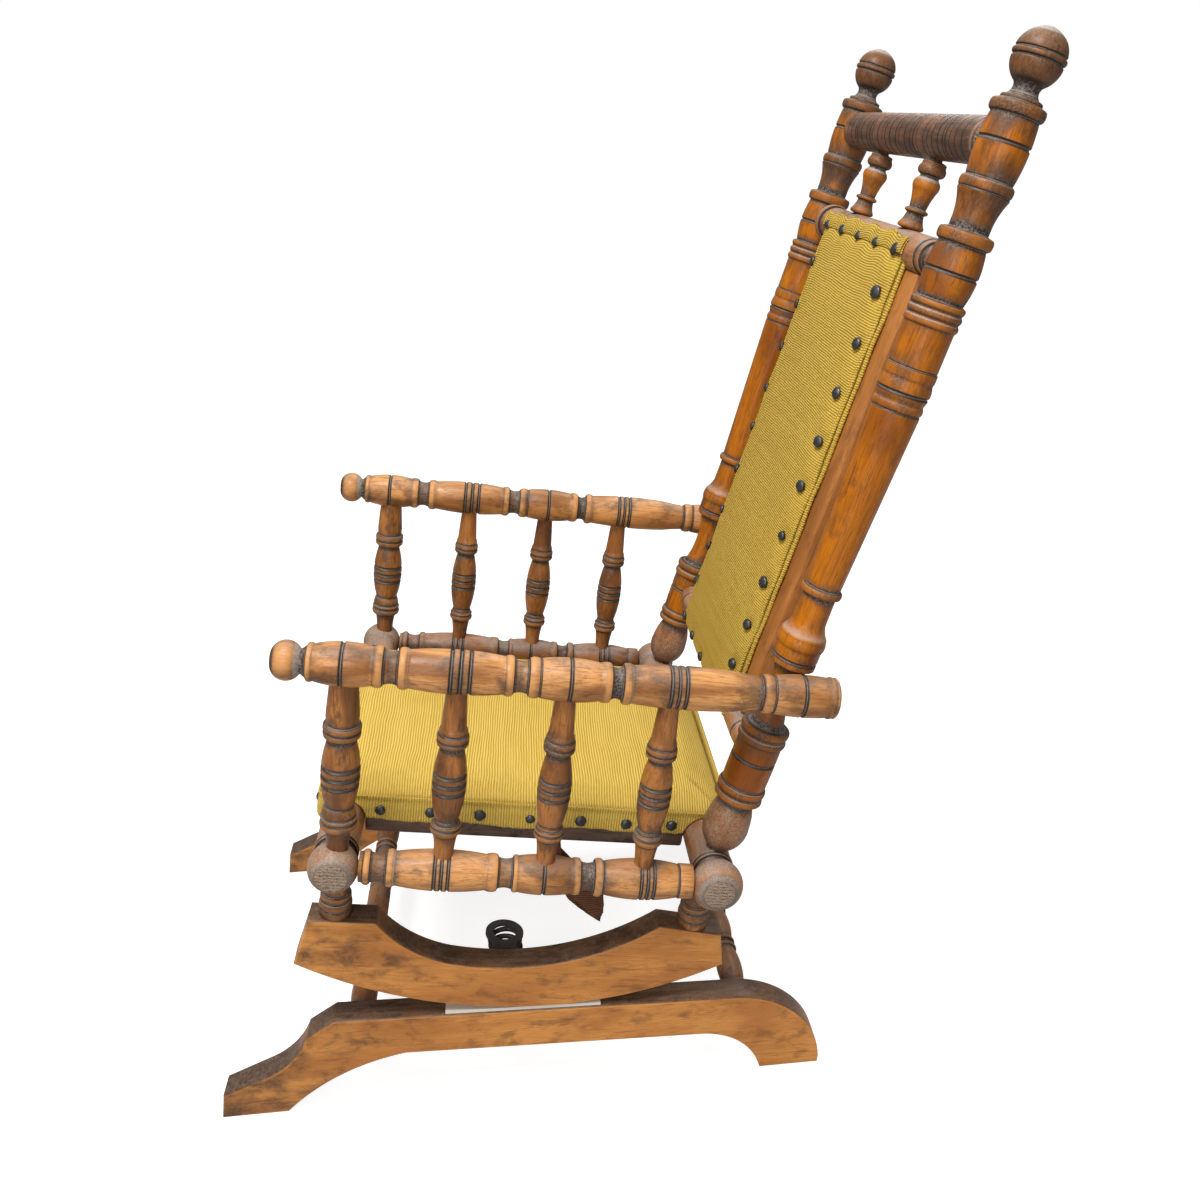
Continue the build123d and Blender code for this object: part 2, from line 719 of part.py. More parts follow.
def seat_end_board(outer_y, towards):
    """Front or rear board of the seat frame, standing between the side boards."""
    width = 2 * (seat_frame_outer_x - seat_board_thickness - seat_gap / 2)
    height = seat_board_top_z - seat_board_bottom_z
    return Pos(0, outer_y + towards * seat_board_thickness / 2, seat_board_bottom_z) * Box(
        width, seat_board_thickness, height, align=(Align.CENTER, Align.CENTER, Align.MIN))


def seat_webbing():
    """Crossed jute webbing on top of the seat frame."""
    level = seat_board_top_z + 0.1 + webbing_thickness / 2
    width = 2 * (seat_frame_outer_x - 5)
    depth = seat_frame_rear_y - seat_frame_front_y - 10
    mid_y = (seat_frame_rear_y + seat_frame_front_y) / 2
    web = None
    for step in (-1, 0, 1):
        lengthways = Pos(step * width / 3.2, mid_y, level) * Box(webbing_width, depth, webbing_thickness)
        crossways = Pos(0, mid_y + step * depth / 3.2, level) * Box(width, webbing_width, webbing_thickness)
        web = lengthways + crossways if web is None else web + lengthways + crossways
    return web


def seat_pad():
    """Stuffed seat; its cover is drawn over both cross rails and down over the side boards."""
    outer_x = seat_frame_outer_x + cloth_gap + seat_cover_thickness
    mid_y = (seat_pad_front_y + seat_pad_rear_y) / 2
    pad = Pos(0, mid_y, seat_cover_bottom_z) * Box(
        2 * outer_x, seat_pad_rear_y - seat_pad_front_y, seat_pad_top_z - seat_cover_bottom_z,
        align=(Align.CENTER, Align.CENTER, Align.MIN))
    pad = fillet(pad.edges().filter_by(Axis.Z), seat_cover_thickness + 2)
    pad = fillet(pad.faces().sort_by(Axis.Z)[-1].edges(), seat_pad_rounding)
    inner_top = seat_board_top_z + webbing_thickness + 2 * cloth_gap
    pad -= Pos(0, (front_rail_y + rear_rail_y) / 2, seat_cover_bottom_z - 1) * Box(
        2 * (seat_frame_outer_x + cloth_gap), rear_rail_y - front_rail_y,
        inner_top - seat_cover_bottom_z + 1, align=(Align.CENTER, Align.CENTER, Align.MIN))
    for y in (front_rail_y, rear_rail_y):
        pad -= Pos(0, y, cross_rail_z) * along_x(Cylinder(cross_rail_radius + cloth_gap, 2 * outer_x + 2))
    return pad


def loose_webbing():
    """Torn end of webbing that hangs from the left board of the seat frame."""
    top_z = seat_board_bottom_z - seat_gap
    tip = (loose_web_tip_y, loose_web_tip_z)
    edges = [
        Line((loose_web_y - loose_web_width / 2, top_z), (loose_web_y + loose_web_width / 2, top_z)),
        Line((loose_web_y + loose_web_width / 2, top_z), (loose_web_tip_y - 4, loose_web_tip_z + 46)),
        Line((loose_web_tip_y - 4, loose_web_tip_z + 46), (loose_web_tip_y + 5, loose_web_tip_z + 26)),
        Line((loose_web_tip_y + 5, loose_web_tip_z + 26), tip),
        Line(tip, (loose_web_y - loose_web_width / 2, top_z)),
    ]
    return Pos(loose_web_x, 0, 0) * extrude(Plane.YZ * make_face(edges), loose_web_thickness)


# ---------------------------------------------------------------- tacks

def tack():
    """Faceted tack head on z = 0."""
    return extrude(RegularPolygon(tack_radius, 8), tack_height, taper=30)


def seat_tacks():
    face_x = seat_frame_outer_x + cloth_gap + seat_cover_thickness + 0.05
    front_face_y = seat_pad_front_y - 0.05
    z = seat_cover_bottom_z + seat_tack_rise
    first_y = seat_frame_front_y + seat_tack_front_inset
    last_y = seat_frame_rear_y - seat_tack_rear_inset
    heads = []
    for place in range(tacks_per_seat_side):
        y = first_y + (last_y - first_y) * place / (tacks_per_seat_side - 1)
        heads.append(Pos(face_x, y, z) * along_x(tack()))
        heads.append(Pos(-face_x, y, z) * Rot(0, -90, 0) * tack())
    spread = 2 * (seat_frame_outer_x - seat_tack_side_inset)
    for place in range(tacks_per_seat_front):
        x = (place / (tacks_per_seat_front - 1) - 0.5) * spread
        heads.append(Pos(x, front_face_y, z) * Rot(90, 0, 0) * tack())
    return heads


def back_tacks():
    """Tacks along the sides and ends of the back pad, standing on its rounded border."""
    border_d = back_pad_front_d + 0.05
    x = back_pad_half_width - back_tack_inset
    low = back_pad_bottom_s + 13
    high = back_pad_top_s - 13
    side_pitch = (high - low) / tacks_per_back_side
    heads = []
    for place in range(tacks_per_back_side):
        for side in (-1, 1):
            heads.append(Pos(side * x, -border_d, low + (place + 0.5) * side_pitch) * Rot(90, 0, 0) * tack())
    for place in range(tacks_per_back_end):
        across = (place / (tacks_per_back_end - 1) * 2 - 1) * x
        heads.append(Pos(across, -border_d, high) * Rot(90, 0, 0) * tack())
        heads.append(Pos(across, -border_d, low) * Rot(90, 0, 0) * tack())
    return [on_back(head) for head in heads]


# ---------------------------------------------------------------- assembly

def spring_bottom_z():
    return contact_z - spring_bottom_drop


def spring_foot_iron():
    return Pos(0, spring_foot_y(), spring_bottom_z()) * spring_iron(False)


def spring_foot_y():
    """Place of the springs' lower ends on the platform, straight below their upper ends."""
    lean = math.radians(rest_lean)
    return spring_y * math.cos(lean) + spring_top_z * math.sin(lean)


def spring_at_rest():
    lean = math.radians(rest_lean)
    top = contact_z - spring_y * math.sin(lean) + spring_top_z * math.cos(lean)
    low = spring_bottom_z() + iron_thickness / 2 + seat_gap
    high = top - iron_thickness / 2 - iron_ring_outer * math.sin(lean) - seat_gap
    return Pos(spring_x, spring_foot_y(), low) * coil_spring(high - low)


def build():
    """All pieces by name, in the chair's resting place on its platform."""
    pieces = {}

    rail = base_rail()
    for hole in screw_holes(False):
        rail -= Pos(0, spring_foot_y(), spring_bottom_z()) * hole
    pairs = {
        "base_rail": rail,
        "wear_strip": wear_strip(),
        "spring_foot_iron": spring_foot_iron(),
        "coil_spring": spring_at_rest(),
        "rocker_board": at_rest(rocker_board()),
        "spring_head_iron": at_rest(Pos(0, spring_y, spring_top_z) * spring_iron(True)),
        "front_leg": at_rest(front_leg()),
        "rear_leg": at_rest(rear_leg()),
        "lower_side_rail": at_rest(side_rail()),
        "front_post": at_rest(front_post()),
        "arm": at_rest(arm()),
        "back_post": at_rest(back_post()),
        "back_stile": at_rest(back_stile()),
        "crest_spindle": at_rest(crest_spindle()),
        "seat_side_board": at_rest(seat_side_board()),
    }
    for name, piece in pairs.items():
        pieces[name + "_left"] = piece
        pieces[name + "_right"] = mirrored(piece)

    for number, y in enumerate(spindle_y, start=1):
        turning = at_rest(Pos(side_x, y, spindle_foot_z()) * spindle())
        pieces[f"arm_spindle_left_{number}"] = turning
        pieces[f"arm_spindle_right_{number}"] = mirrored(turning)

    stretcher = base_stretcher()
    pieces["base_stretcher_front"] = Pos(0, front_stretcher_y, front_stretcher_z) * stretcher
    pieces["base_stretcher_rear"] = Pos(0, rear_stretcher_y, rear_stretcher_z) * stretcher
    pieces["front_cross_rail"] = at_rest(front_cross_rail())
    pieces["rear_cross_rail"] = at_rest(rear_cross_rail())
    pieces["back_bottom_rail"] = at_rest(bottom_rail())
    pieces["back_top_rail"] = at_rest(top_rail())
    pieces["crest_rail"] = at_rest(crest_rail())
    pieces["back_pad"] = at_rest(back_pad())
    pieces["back_lining"] = at_rest(back_lining())
    pieces["seat_front_board"] = at_rest(seat_end_board(seat_frame_front_y, 1))
    pieces["seat_rear_board"] = at_rest(seat_end_board(seat_frame_rear_y, -1))
    pieces["seat_webbing"] = at_rest(seat_webbing())
    pieces["seat_pad"] = at_rest(seat_pad())
    pieces["loose_webbing"] = at_rest(loose_webbing())

    groups = {
        "seat_tacks": [at_rest(head) for head in seat_tacks()],
        "back_tacks": [at_rest(head) for head in back_tacks()],
        "arm_dowels": [at_rest(arm_dowel()), mirrored(at_rest(arm_dowel()))],
    }
    foot_screws = [Pos(0, spring_foot_y(), spring_bottom_z()) * screw for screw in iron_screws(False)]
    head_screws = [at_rest(Pos(0, spring_y, spring_top_z) * screw) for screw in iron_screws(True)]
    groups["spring_foot_screws"] = foot_screws + [mirrored(screw) for screw in foot_screws]
    groups["spring_head_screws"] = head_screws + [mirrored(screw) for screw in head_screws]
    for name, solids in groups.items():
        pieces[name] = Compound([solid for shape in solids for solid in shape.solids()])
    return pieces


def main():
    pieces = build()
    boxes = [piece.bounding_box() for piece in pieces.values()]
    front = min(box.min.Y for box in boxes)
    rear = max(box.max.Y for box in boxes)
    floor = min(box.min.Z for box in boxes)
    centre = Pos(0, -(front + rear) / 2, -floor)
    for name, piece in pieces.items():
        export_step(centre * piece, f"parts/{name}.step")
    print("depth", round(rear - front, 1), "height", round(max(box.max.Z for box in boxes) - floor, 1))
    print("contact line y, z", round(centre.position.Y, 3), round(contact_z + centre.position.Z, 3))


main()
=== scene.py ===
import math

import bpy
import numpy as np
from mathutils import Matrix, Vector


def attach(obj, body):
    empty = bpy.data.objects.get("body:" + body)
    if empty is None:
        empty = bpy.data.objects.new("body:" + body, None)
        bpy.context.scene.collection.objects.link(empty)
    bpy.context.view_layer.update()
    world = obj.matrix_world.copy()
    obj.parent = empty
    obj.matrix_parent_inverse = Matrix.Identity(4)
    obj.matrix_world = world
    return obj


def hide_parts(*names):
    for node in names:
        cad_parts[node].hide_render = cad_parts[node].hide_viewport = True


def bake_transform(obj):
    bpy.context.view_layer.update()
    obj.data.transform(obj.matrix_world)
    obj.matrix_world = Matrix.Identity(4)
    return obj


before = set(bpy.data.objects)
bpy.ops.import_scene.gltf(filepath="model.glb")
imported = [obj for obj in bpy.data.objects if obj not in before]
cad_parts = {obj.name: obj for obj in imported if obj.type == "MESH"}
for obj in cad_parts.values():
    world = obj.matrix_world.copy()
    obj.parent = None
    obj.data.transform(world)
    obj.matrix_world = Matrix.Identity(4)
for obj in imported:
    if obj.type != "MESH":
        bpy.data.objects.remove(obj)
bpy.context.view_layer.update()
print("frame loaded")

mm = 0.001
sides = ((1, "left"), (-1, "right"))

# where the chair stands on its platform, millimetres and degrees
attitude = {
    "depthShift": -39.316,    # from the contact line to the middle of the object, along y
    "contactHeight": 114.1,
    "lean": 8.6,
    "recline": 10.3,
    "postFoot": (140.0, 181.0, 23.5),   # rear rail's y and z, and the rise to the bulb's foot
    "postX": 216.0,
    "sideX": 250.0,
    "railHeight": 181.0,
}


def moveBy(x, y, z):
    matrix = np.eye(4)
    matrix[:3, 3] = (x, y, z)
    return matrix


def turnAboutX(degrees):
    c, s = math.cos(math.radians(degrees)), math.sin(math.radians(degrees))
    return np.array([[1, 0, 0, 0], [0, c, -s, 0], [0, s, c, 0], [0, 0, 0, 1]], float)


# quarter turns that lay a turning's own z along x or along y
layAlongX = np.array([[0, 0, 1, 0], [0, 1, 0, 0], [-1, 0, 0, 0], [0, 0, 0, 1]], float)
layAlongY = np.array([[1, 0, 0, 0], [0, 0, 1, 0], [0, -1, 0, 0], [0, 0, 0, 1]], float)

platformPlace = moveBy(0, attitude["depthShift"], 0)
chairPlace = moveBy(0, attitude["depthShift"], attitude["contactHeight"]) @ turnAboutX(-attitude["lean"])
backPlace = (chairPlace @ moveBy(0, attitude["postFoot"][0], attitude["postFoot"][1])
             @ turnAboutX(-attitude["recline"]) @ moveBy(0, 0, attitude["postFoot"][2]))


# meshes, made from whole arrays

def placed(points, matrix):
    # rotation part times each point, plus the shift, and millimetres to metres
    return (points @ matrix[:3, :3].T + matrix[:3, 3]) * mm


def unit(vectors):
    return vectors / np.linalg.norm(vectors, axis=-1, keepdims=True)


def bell(distance, width):
    return np.exp(-(distance / width) ** 2)


def linkedObject(name, data):
    obj = bpy.data.objects.new(name, data)
    bpy.context.scene.collection.objects.link(obj)
    return obj


def writeAttributes(mesh, attributes):
    mesh.polygons.foreach_set("use_smooth", np.ones(len(mesh.polygons), bool))
    for key, values in attributes.items():
        vector = values.ndim == 2
        layer = mesh.attributes.new(key, "FLOAT_VECTOR" if vector else "FLOAT", "POINT")
        layer.data.foreach_set("vector" if vector else "value", values.astype(np.float32).ravel())


def makeObject(name, points, faces, attributes=None, smoothAngle=None):
    # faces is a list of index arrays, each array of one face size
    mesh = bpy.data.meshes.new(name)
    counts = np.concatenate([np.full(len(f), f.shape[1]) for f in faces])
    corners = np.concatenate([f.ravel() for f in faces])
    mesh.vertices.add(len(points))
    mesh.vertices.foreach_set("co", points.astype(np.float32).ravel())
    mesh.loops.add(len(corners))
    mesh.loops.foreach_set("vertex_index", corners.astype(np.int32))
    mesh.polygons.add(len(counts))
    starts = np.concatenate([[0], np.cumsum(counts)[:-1]])
    mesh.polygons.foreach_set("loop_start", starts.astype(np.int32))
    mesh.update(calc_edges=True)
    mesh.validate()
    writeAttributes(mesh, attributes or {})
    if smoothAngle:
        mesh.set_sharp_from_angle(angle=math.radians(smoothAngle))
    return linkedObject(name, mesh)


def settle(obj, material, node=None, body="chair"):
    # material, body and the CAD node that the piece stands for
    obj.data.materials.append(material)
    if body:
        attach(obj, body)
    if node:
        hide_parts(node)


def gridFaces(rows, columns, closed=True):
    # quads between neighbouring rows of a rows x columns grid, wrapping round the columns when closed
    r = np.arange(rows - 1)[:, None]
    c = np.arange(columns if closed else columns - 1)[None, :]
    nextC = (c + 1) % columns
    a, b = r * columns + c, r * columns + nextC
    return np.stack([a, b, b + columns, a + columns], -1).reshape(-1, 4)


def tubeFaces(rows, columns):
    # closed grid with a many-sided face at each end
    ring = np.arange(columns)
    return [gridFaces(rows, columns), ring[None, ::-1], (ring + (rows - 1) * columns)[None, :]]


def doubleSkin(front, back):
    # two sheets of rows x columns points, joined all round
    rows, columns = front.shape[:2]
    points = np.concatenate([front, back[::-1]]).reshape(-1, 3)
    c, last = np.arange(columns - 1), (2 * rows - 1) * columns
    seam = np.stack([c + 1, c, c + last, c + 1 + last], 1)
    faces = np.concatenate([gridFaces(2 * rows, columns, closed=False), seam])[:, ::-1]
    edge = np.arange(2 * rows) * columns
    return points, [faces, edge[None, :], (edge + columns - 1)[None, ::-1]]


def smoothed(values, spacing, sigma):
    # running mean of the values under a bell curve of width sigma
    reach = int(4 * sigma / spacing) + 1
    curve = np.exp(-0.5 * (np.arange(-reach, reach + 1) * spacing / sigma) ** 2)
    return np.convolve(np.pad(values, reach, mode="edge"), curve / curve.sum(), mode="valid")


beadRule = {"shortest": 2.9, "longest": 13.0, "sagShare": 0.2, "mostSag": 1.5, "power": 2.4, "stepHalf": 0.3}


def arcRadii(length, start, middle, end):
    # radii along the circle through (0, start), (length / 2, middle) and (length, end), centre (cs, cr)
    a, b, c = np.array([0.0, start]), np.array([length / 2, middle]), np.array([length, end])
    cs, cr = np.linalg.solve(2 * np.array([b - a, c - a]), np.array([b @ b - a @ a, c @ c - a @ a]))
    s = length * np.linspace(0, 1, 24)[1:]
    way = 1.0 if middle > (start + end) / 2 else -1.0
    inside = np.clip(math.hypot(a[0] - cs, a[1] - cr) ** 2 - (s - cs) ** 2, 0, None)
    return s, cr + way * np.sqrt(inside)


def profileOf(stretches):
    # a stretch is (length, radius), (length, start, end) or, for an arc, (length, start, middle, end); one
    # that starts at another radius than the last ended with makes a step, and a short proud one is a bead,
    # r(t) = radius - sag |t|^power for t from -1 to 1 across it
    radius, at = float(stretches[0][1]), 0.0
    places, radii = [np.zeros(1)], [np.array([radius])]
    for number, stretch in enumerate(stretches):
        length, start, end = stretch[0], stretch[1], stretch[-1]
        following = stretches[number + 1] if number + 1 < len(stretches) else (0, end)
        after = following[1] if following[1] != end else following[-1]
        stepped = start != radius
        if stepped:
            places.append(np.array([at]))
            radii.append(np.array([float(start)]))
        short = beadRule["shortest"] <= length <= beadRule["longest"]
        if stepped and len(stretch) == 2 and short and min(radius, after) < end:
            sag = min(beadRule["mostSag"], beadRule["sagShare"] * length)
            t = np.linspace(-1, 1, 13)[1:]
            radii[-1][-1] -= sag
            places.append(at + length * (t + 1) / 2)
            radii.append(end - sag * np.abs(t) ** beadRule["power"])
        elif len(stretch) == 4:
            s, r = arcRadii(*stretch)
            places.append(at + s)
            radii.append(r)
        else:
            places.append(np.array([at + length]))
            radii.append(np.array([float(end)]))
        at, radius = at + length, float(end)
    s, r = np.concatenate(places), np.concatenate(radii)
    jump = np.where(np.diff(s) < 1e-6)[0]
    s[jump] -= beadRule["stepHalf"]
    s[jump + 1] += beadRule["stepHalf"]
    return s, r


def bothWays(half):
    # the same half turning run backwards and then forwards from the middle
    return [(stretch[0], *stretch[:0:-1]) for stretch in reversed(half)] + list(half)


# cuts are (half width, depth), sigmas are widths of bell curves, all in millimetres
turningRule = {"fine": 0.2, "rounding": 0.45, "edgeRounding": 0.35, "leastStep": 0.75, "endMargin": 6.0,
               "footCut": (0.75, 0.5), "hollowSigma": 5.0, "crowdSigmas": (2.5, 6.0)}


def turnedSurface(shape):
    # the radius as a function of the length along the axis, swept round it: (r(s) cos a, r(s) sin a, s)
    # grooves are (place, half width, depth) of V-shaped valleys, and each step has a fine one at its foot
    # aged are (place, value) pairs: above 0 the wood is darkened there, below 0 it is covered with grey dust
    rule, base, around = turningRule, shape.get("radius", 0.0), shape.get("around", 44)
    s, r = profileOf([(item[0], *(base + radius for radius in item[1:])) for item in shape["stretches"]])
    fine = rule["fine"]
    dense = np.arange(s[0], s[-1] + fine / 2, fine)
    line = smoothed(np.interp(dense, s, r), fine, rule["rounding"])
    inside = (s[1:] > rule["endMargin"]) & (s[1:] < s[-1] - rule["endMargin"])
    jump = np.where((np.diff(s) < 0.65) & (np.abs(np.diff(r)) > rule["leastStep"]) & inside)[0]
    feet = [((s[k] + s[k + 1]) / 2 + (0.5 if r[k + 1] < r[k] else -0.5), *rule["footCut"]) for k in jump]
    cut = np.zeros(len(dense))
    for place, half, depth in list(shape.get("grooves", ())) + feet:
        line = line - depth * np.clip(1.25 * (1 - np.abs(dense - place) / half), 0, 1)
        cut = np.maximum(cut, np.clip(1 - np.abs(dense - place) / (1.7 * half), 0, 1))
    line = smoothed(line, fine, rule["edgeRounding"])
    slope = -np.gradient(line, fine)
    marks = {
        "hollow": (line - smoothed(line, fine, rule["hollowSigma"])) * mm,
        "crowded": smoothed(np.abs(line - smoothed(line, fine, rule["crowdSigmas"][0])), fine,
                            rule["crowdSigmas"][1]),
        "ledge": slope / np.sqrt(1 + slope ** 2),
        "groove": cut,
    }
    # rings stand closer where the line bends or is cut
    bend = np.abs(np.gradient(np.gradient(line, fine), fine))
    need = np.sqrt(smoothed(bend, fine, 0.5)) * 2.2 + 0.16 + 1.2 * (cut > 0)
    total = np.concatenate([[0], np.cumsum((need[1:] + need[:-1]) / 2 * fine)])
    count = int(shape.get("perMm", 0.55) * (s[-1] - s[0])) + 24
    picked = np.interp(np.linspace(0, total[-1], count), total, dense)
    radius = np.interp(picked, dense, line)
    # rounded rims and a closed pole at each end
    first, last = radius[0], radius[-1]
    rings = np.concatenate([[0.02, first * 0.5, first - 1.0, first - 0.3], radius[1:-1],
                            [last - 0.3, last - 1.0, last * 0.5, 0.02]])
    heights = np.concatenate([np.full(3, picked[0]), [picked[0] + 0.25], picked[1:-1],
                              [picked[-1] - 0.25], np.full(3, picked[-1])])
    extra = {key: np.repeat(np.pad(np.interp(picked, dense, values)[1:-1], 4), around)
             for key, values in marks.items()}
    extra["aged"] = np.repeat(np.interp(heights, *zip(*shape.get("aged", [(0, 0)]))), around)
    extra["endGrain"] = np.repeat(np.pad(np.zeros(len(rings) - 6), 3, constant_values=1), around)
    angle = np.linspace(0, 2 * np.pi, around, endpoint=False)
    points = np.stack([rings[:, None] * np.cos(angle), rings[:, None] * np.sin(angle),
                       np.repeat(heights[:, None], around, 1)], -1).reshape(-1, 3)
    return {"points": points, "faces": tubeFaces(len(rings), around), "grain": points, "extra": extra}


def upness(surface, points):
    # how far each vertex faces up, from the faces around it
    mesh = bpy.data.meshes.new("normals")
    faces = np.concatenate([f for f in surface["faces"] if f.shape[1] == 4])
    mesh.from_pydata(points.tolist(), [], faces.tolist())
    normals = np.zeros(len(points) * 3, np.float32)
    mesh.vertices.foreach_get("normal", normals)
    bpy.data.meshes.remove(mesh)
    return normals.reshape(-1, 3)[:, 2].astype(float)


pieceCount = [0]


def finishPiece(name, surface, matrix, look, node, body="chair", smoothAngle=None):
    # a wooden piece; its grain starts at a place of its own
    points = placed(surface["points"], matrix)
    pieceCount[0] += 1
    attributes = {"grainPlace": surface["grain"] * mm + np.array([0.37, 0.21, 0.53]) * pieceCount[0],
                  "upFacing": upness(surface, points), **surface["extra"]}
    obj = makeObject(name, points, surface["faces"], attributes, smoothAngle)
    settle(obj, woods[look], node, body)


# materials; a plain tuple for a colour is linear red, green and blue

class Nodes:
    # short ways to add and join nodes in one tree
    def __init__(self, tree):
        self.tree = tree

    def add(self, kind, **settings):
        node = self.tree.nodes.new(kind)
        for key, value in settings.items():
            setattr(node, key, value)
        return node

    def join(self, source, target):
        self.tree.links.new(source, target)

    def put(self, value, target):
        if isinstance(value, bpy.types.NodeSocket):
            self.join(value, target)
        else:
            target.default_value = (*value, 1.0) if target.type == "RGBA" else value

    def math(self, operation, values, clamp=False):
        # one node for each further value, the last one clamped where asked
        result = values[0]
        for number, value in enumerate(values[1:], start=2):
            node = self.add("ShaderNodeMath", operation=operation, use_clamp=clamp and number == len(values))
            self.put(result, node.inputs[0])
            self.put(value, node.inputs[1])
            result = node.outputs[0]
        return result

    def times(self, *values, clamp=False):
        return self.math("MULTIPLY", values, clamp)

    def plus(self, *values, clamp=False):
        return self.math("ADD", values, clamp)

    def most(self, *values):
        return self.math("MAXIMUM", values)

    def ramp(self, value, low, high, toLow=0.0, toHigh=1.0, smooth=True):
        node = self.add("ShaderNodeMapRange", interpolation_type="SMOOTHSTEP" if smooth else "LINEAR")
        for socket, item in zip(("Value", "From Min", "From Max", "To Min", "To Max"),
                                (value, low, high, toLow, toHigh)):
            self.put(item, node.inputs[socket])
        return node.outputs["Result"]

    def mix(self, factor, a, b):
        node = self.add("ShaderNodeMix", data_type="RGBA")
        for value, socket in ((factor, "Factor"), (a, 6), (b, 7)):
            self.put(value, node.inputs[socket])
        return node.outputs[2]

    def noise(self, vector, scale, detail=3.0, roughness=0.55, distortion=0.0):
        node = self.add("ShaderNodeTexNoise")
        for key, value in (("Vector", vector), ("Scale", scale), ("Detail", detail),
                           ("Roughness", roughness), ("Distortion", distortion)):
            self.put(value, node.inputs[key])
        return node.outputs[0]

    def drawn(self, vector, scale, *settings):
        # noise drawn out by another scale along each axis
        node = self.add("ShaderNodeMapping")
        self.put(vector, node.inputs["Vector"])
        node.inputs["Scale"].default_value = scale
        return self.noise(node.outputs[0], 1.0, *settings)


def newGroup(name, inputs):
    # node group with named inputs, a colour where the value is a tuple and a vector where it is None
    group = bpy.data.node_groups.new(name, "ShaderNodeTree")
    for label, value in inputs.items():
        kind = "Vector" if value is None else "Color" if isinstance(value, tuple) else "Float"
        socket = group.interface.new_socket(label, in_out="INPUT", socket_type="NodeSocket" + kind)
        if value is not None:
            socket.default_value = (*value, 1.0) if kind == "Color" else value
    for label, kind in (("Color", "Color"), ("Roughness", "Float"), ("Height", "Float")):
        group.interface.new_socket(label, in_out="OUTPUT", socket_type="NodeSocket" + kind)
    start, end = group.nodes.new("NodeGroupInput"), group.nodes.new("NodeGroupOutput")
    return Nodes(group), {socket.name: socket for socket in start.outputs}, end.inputs


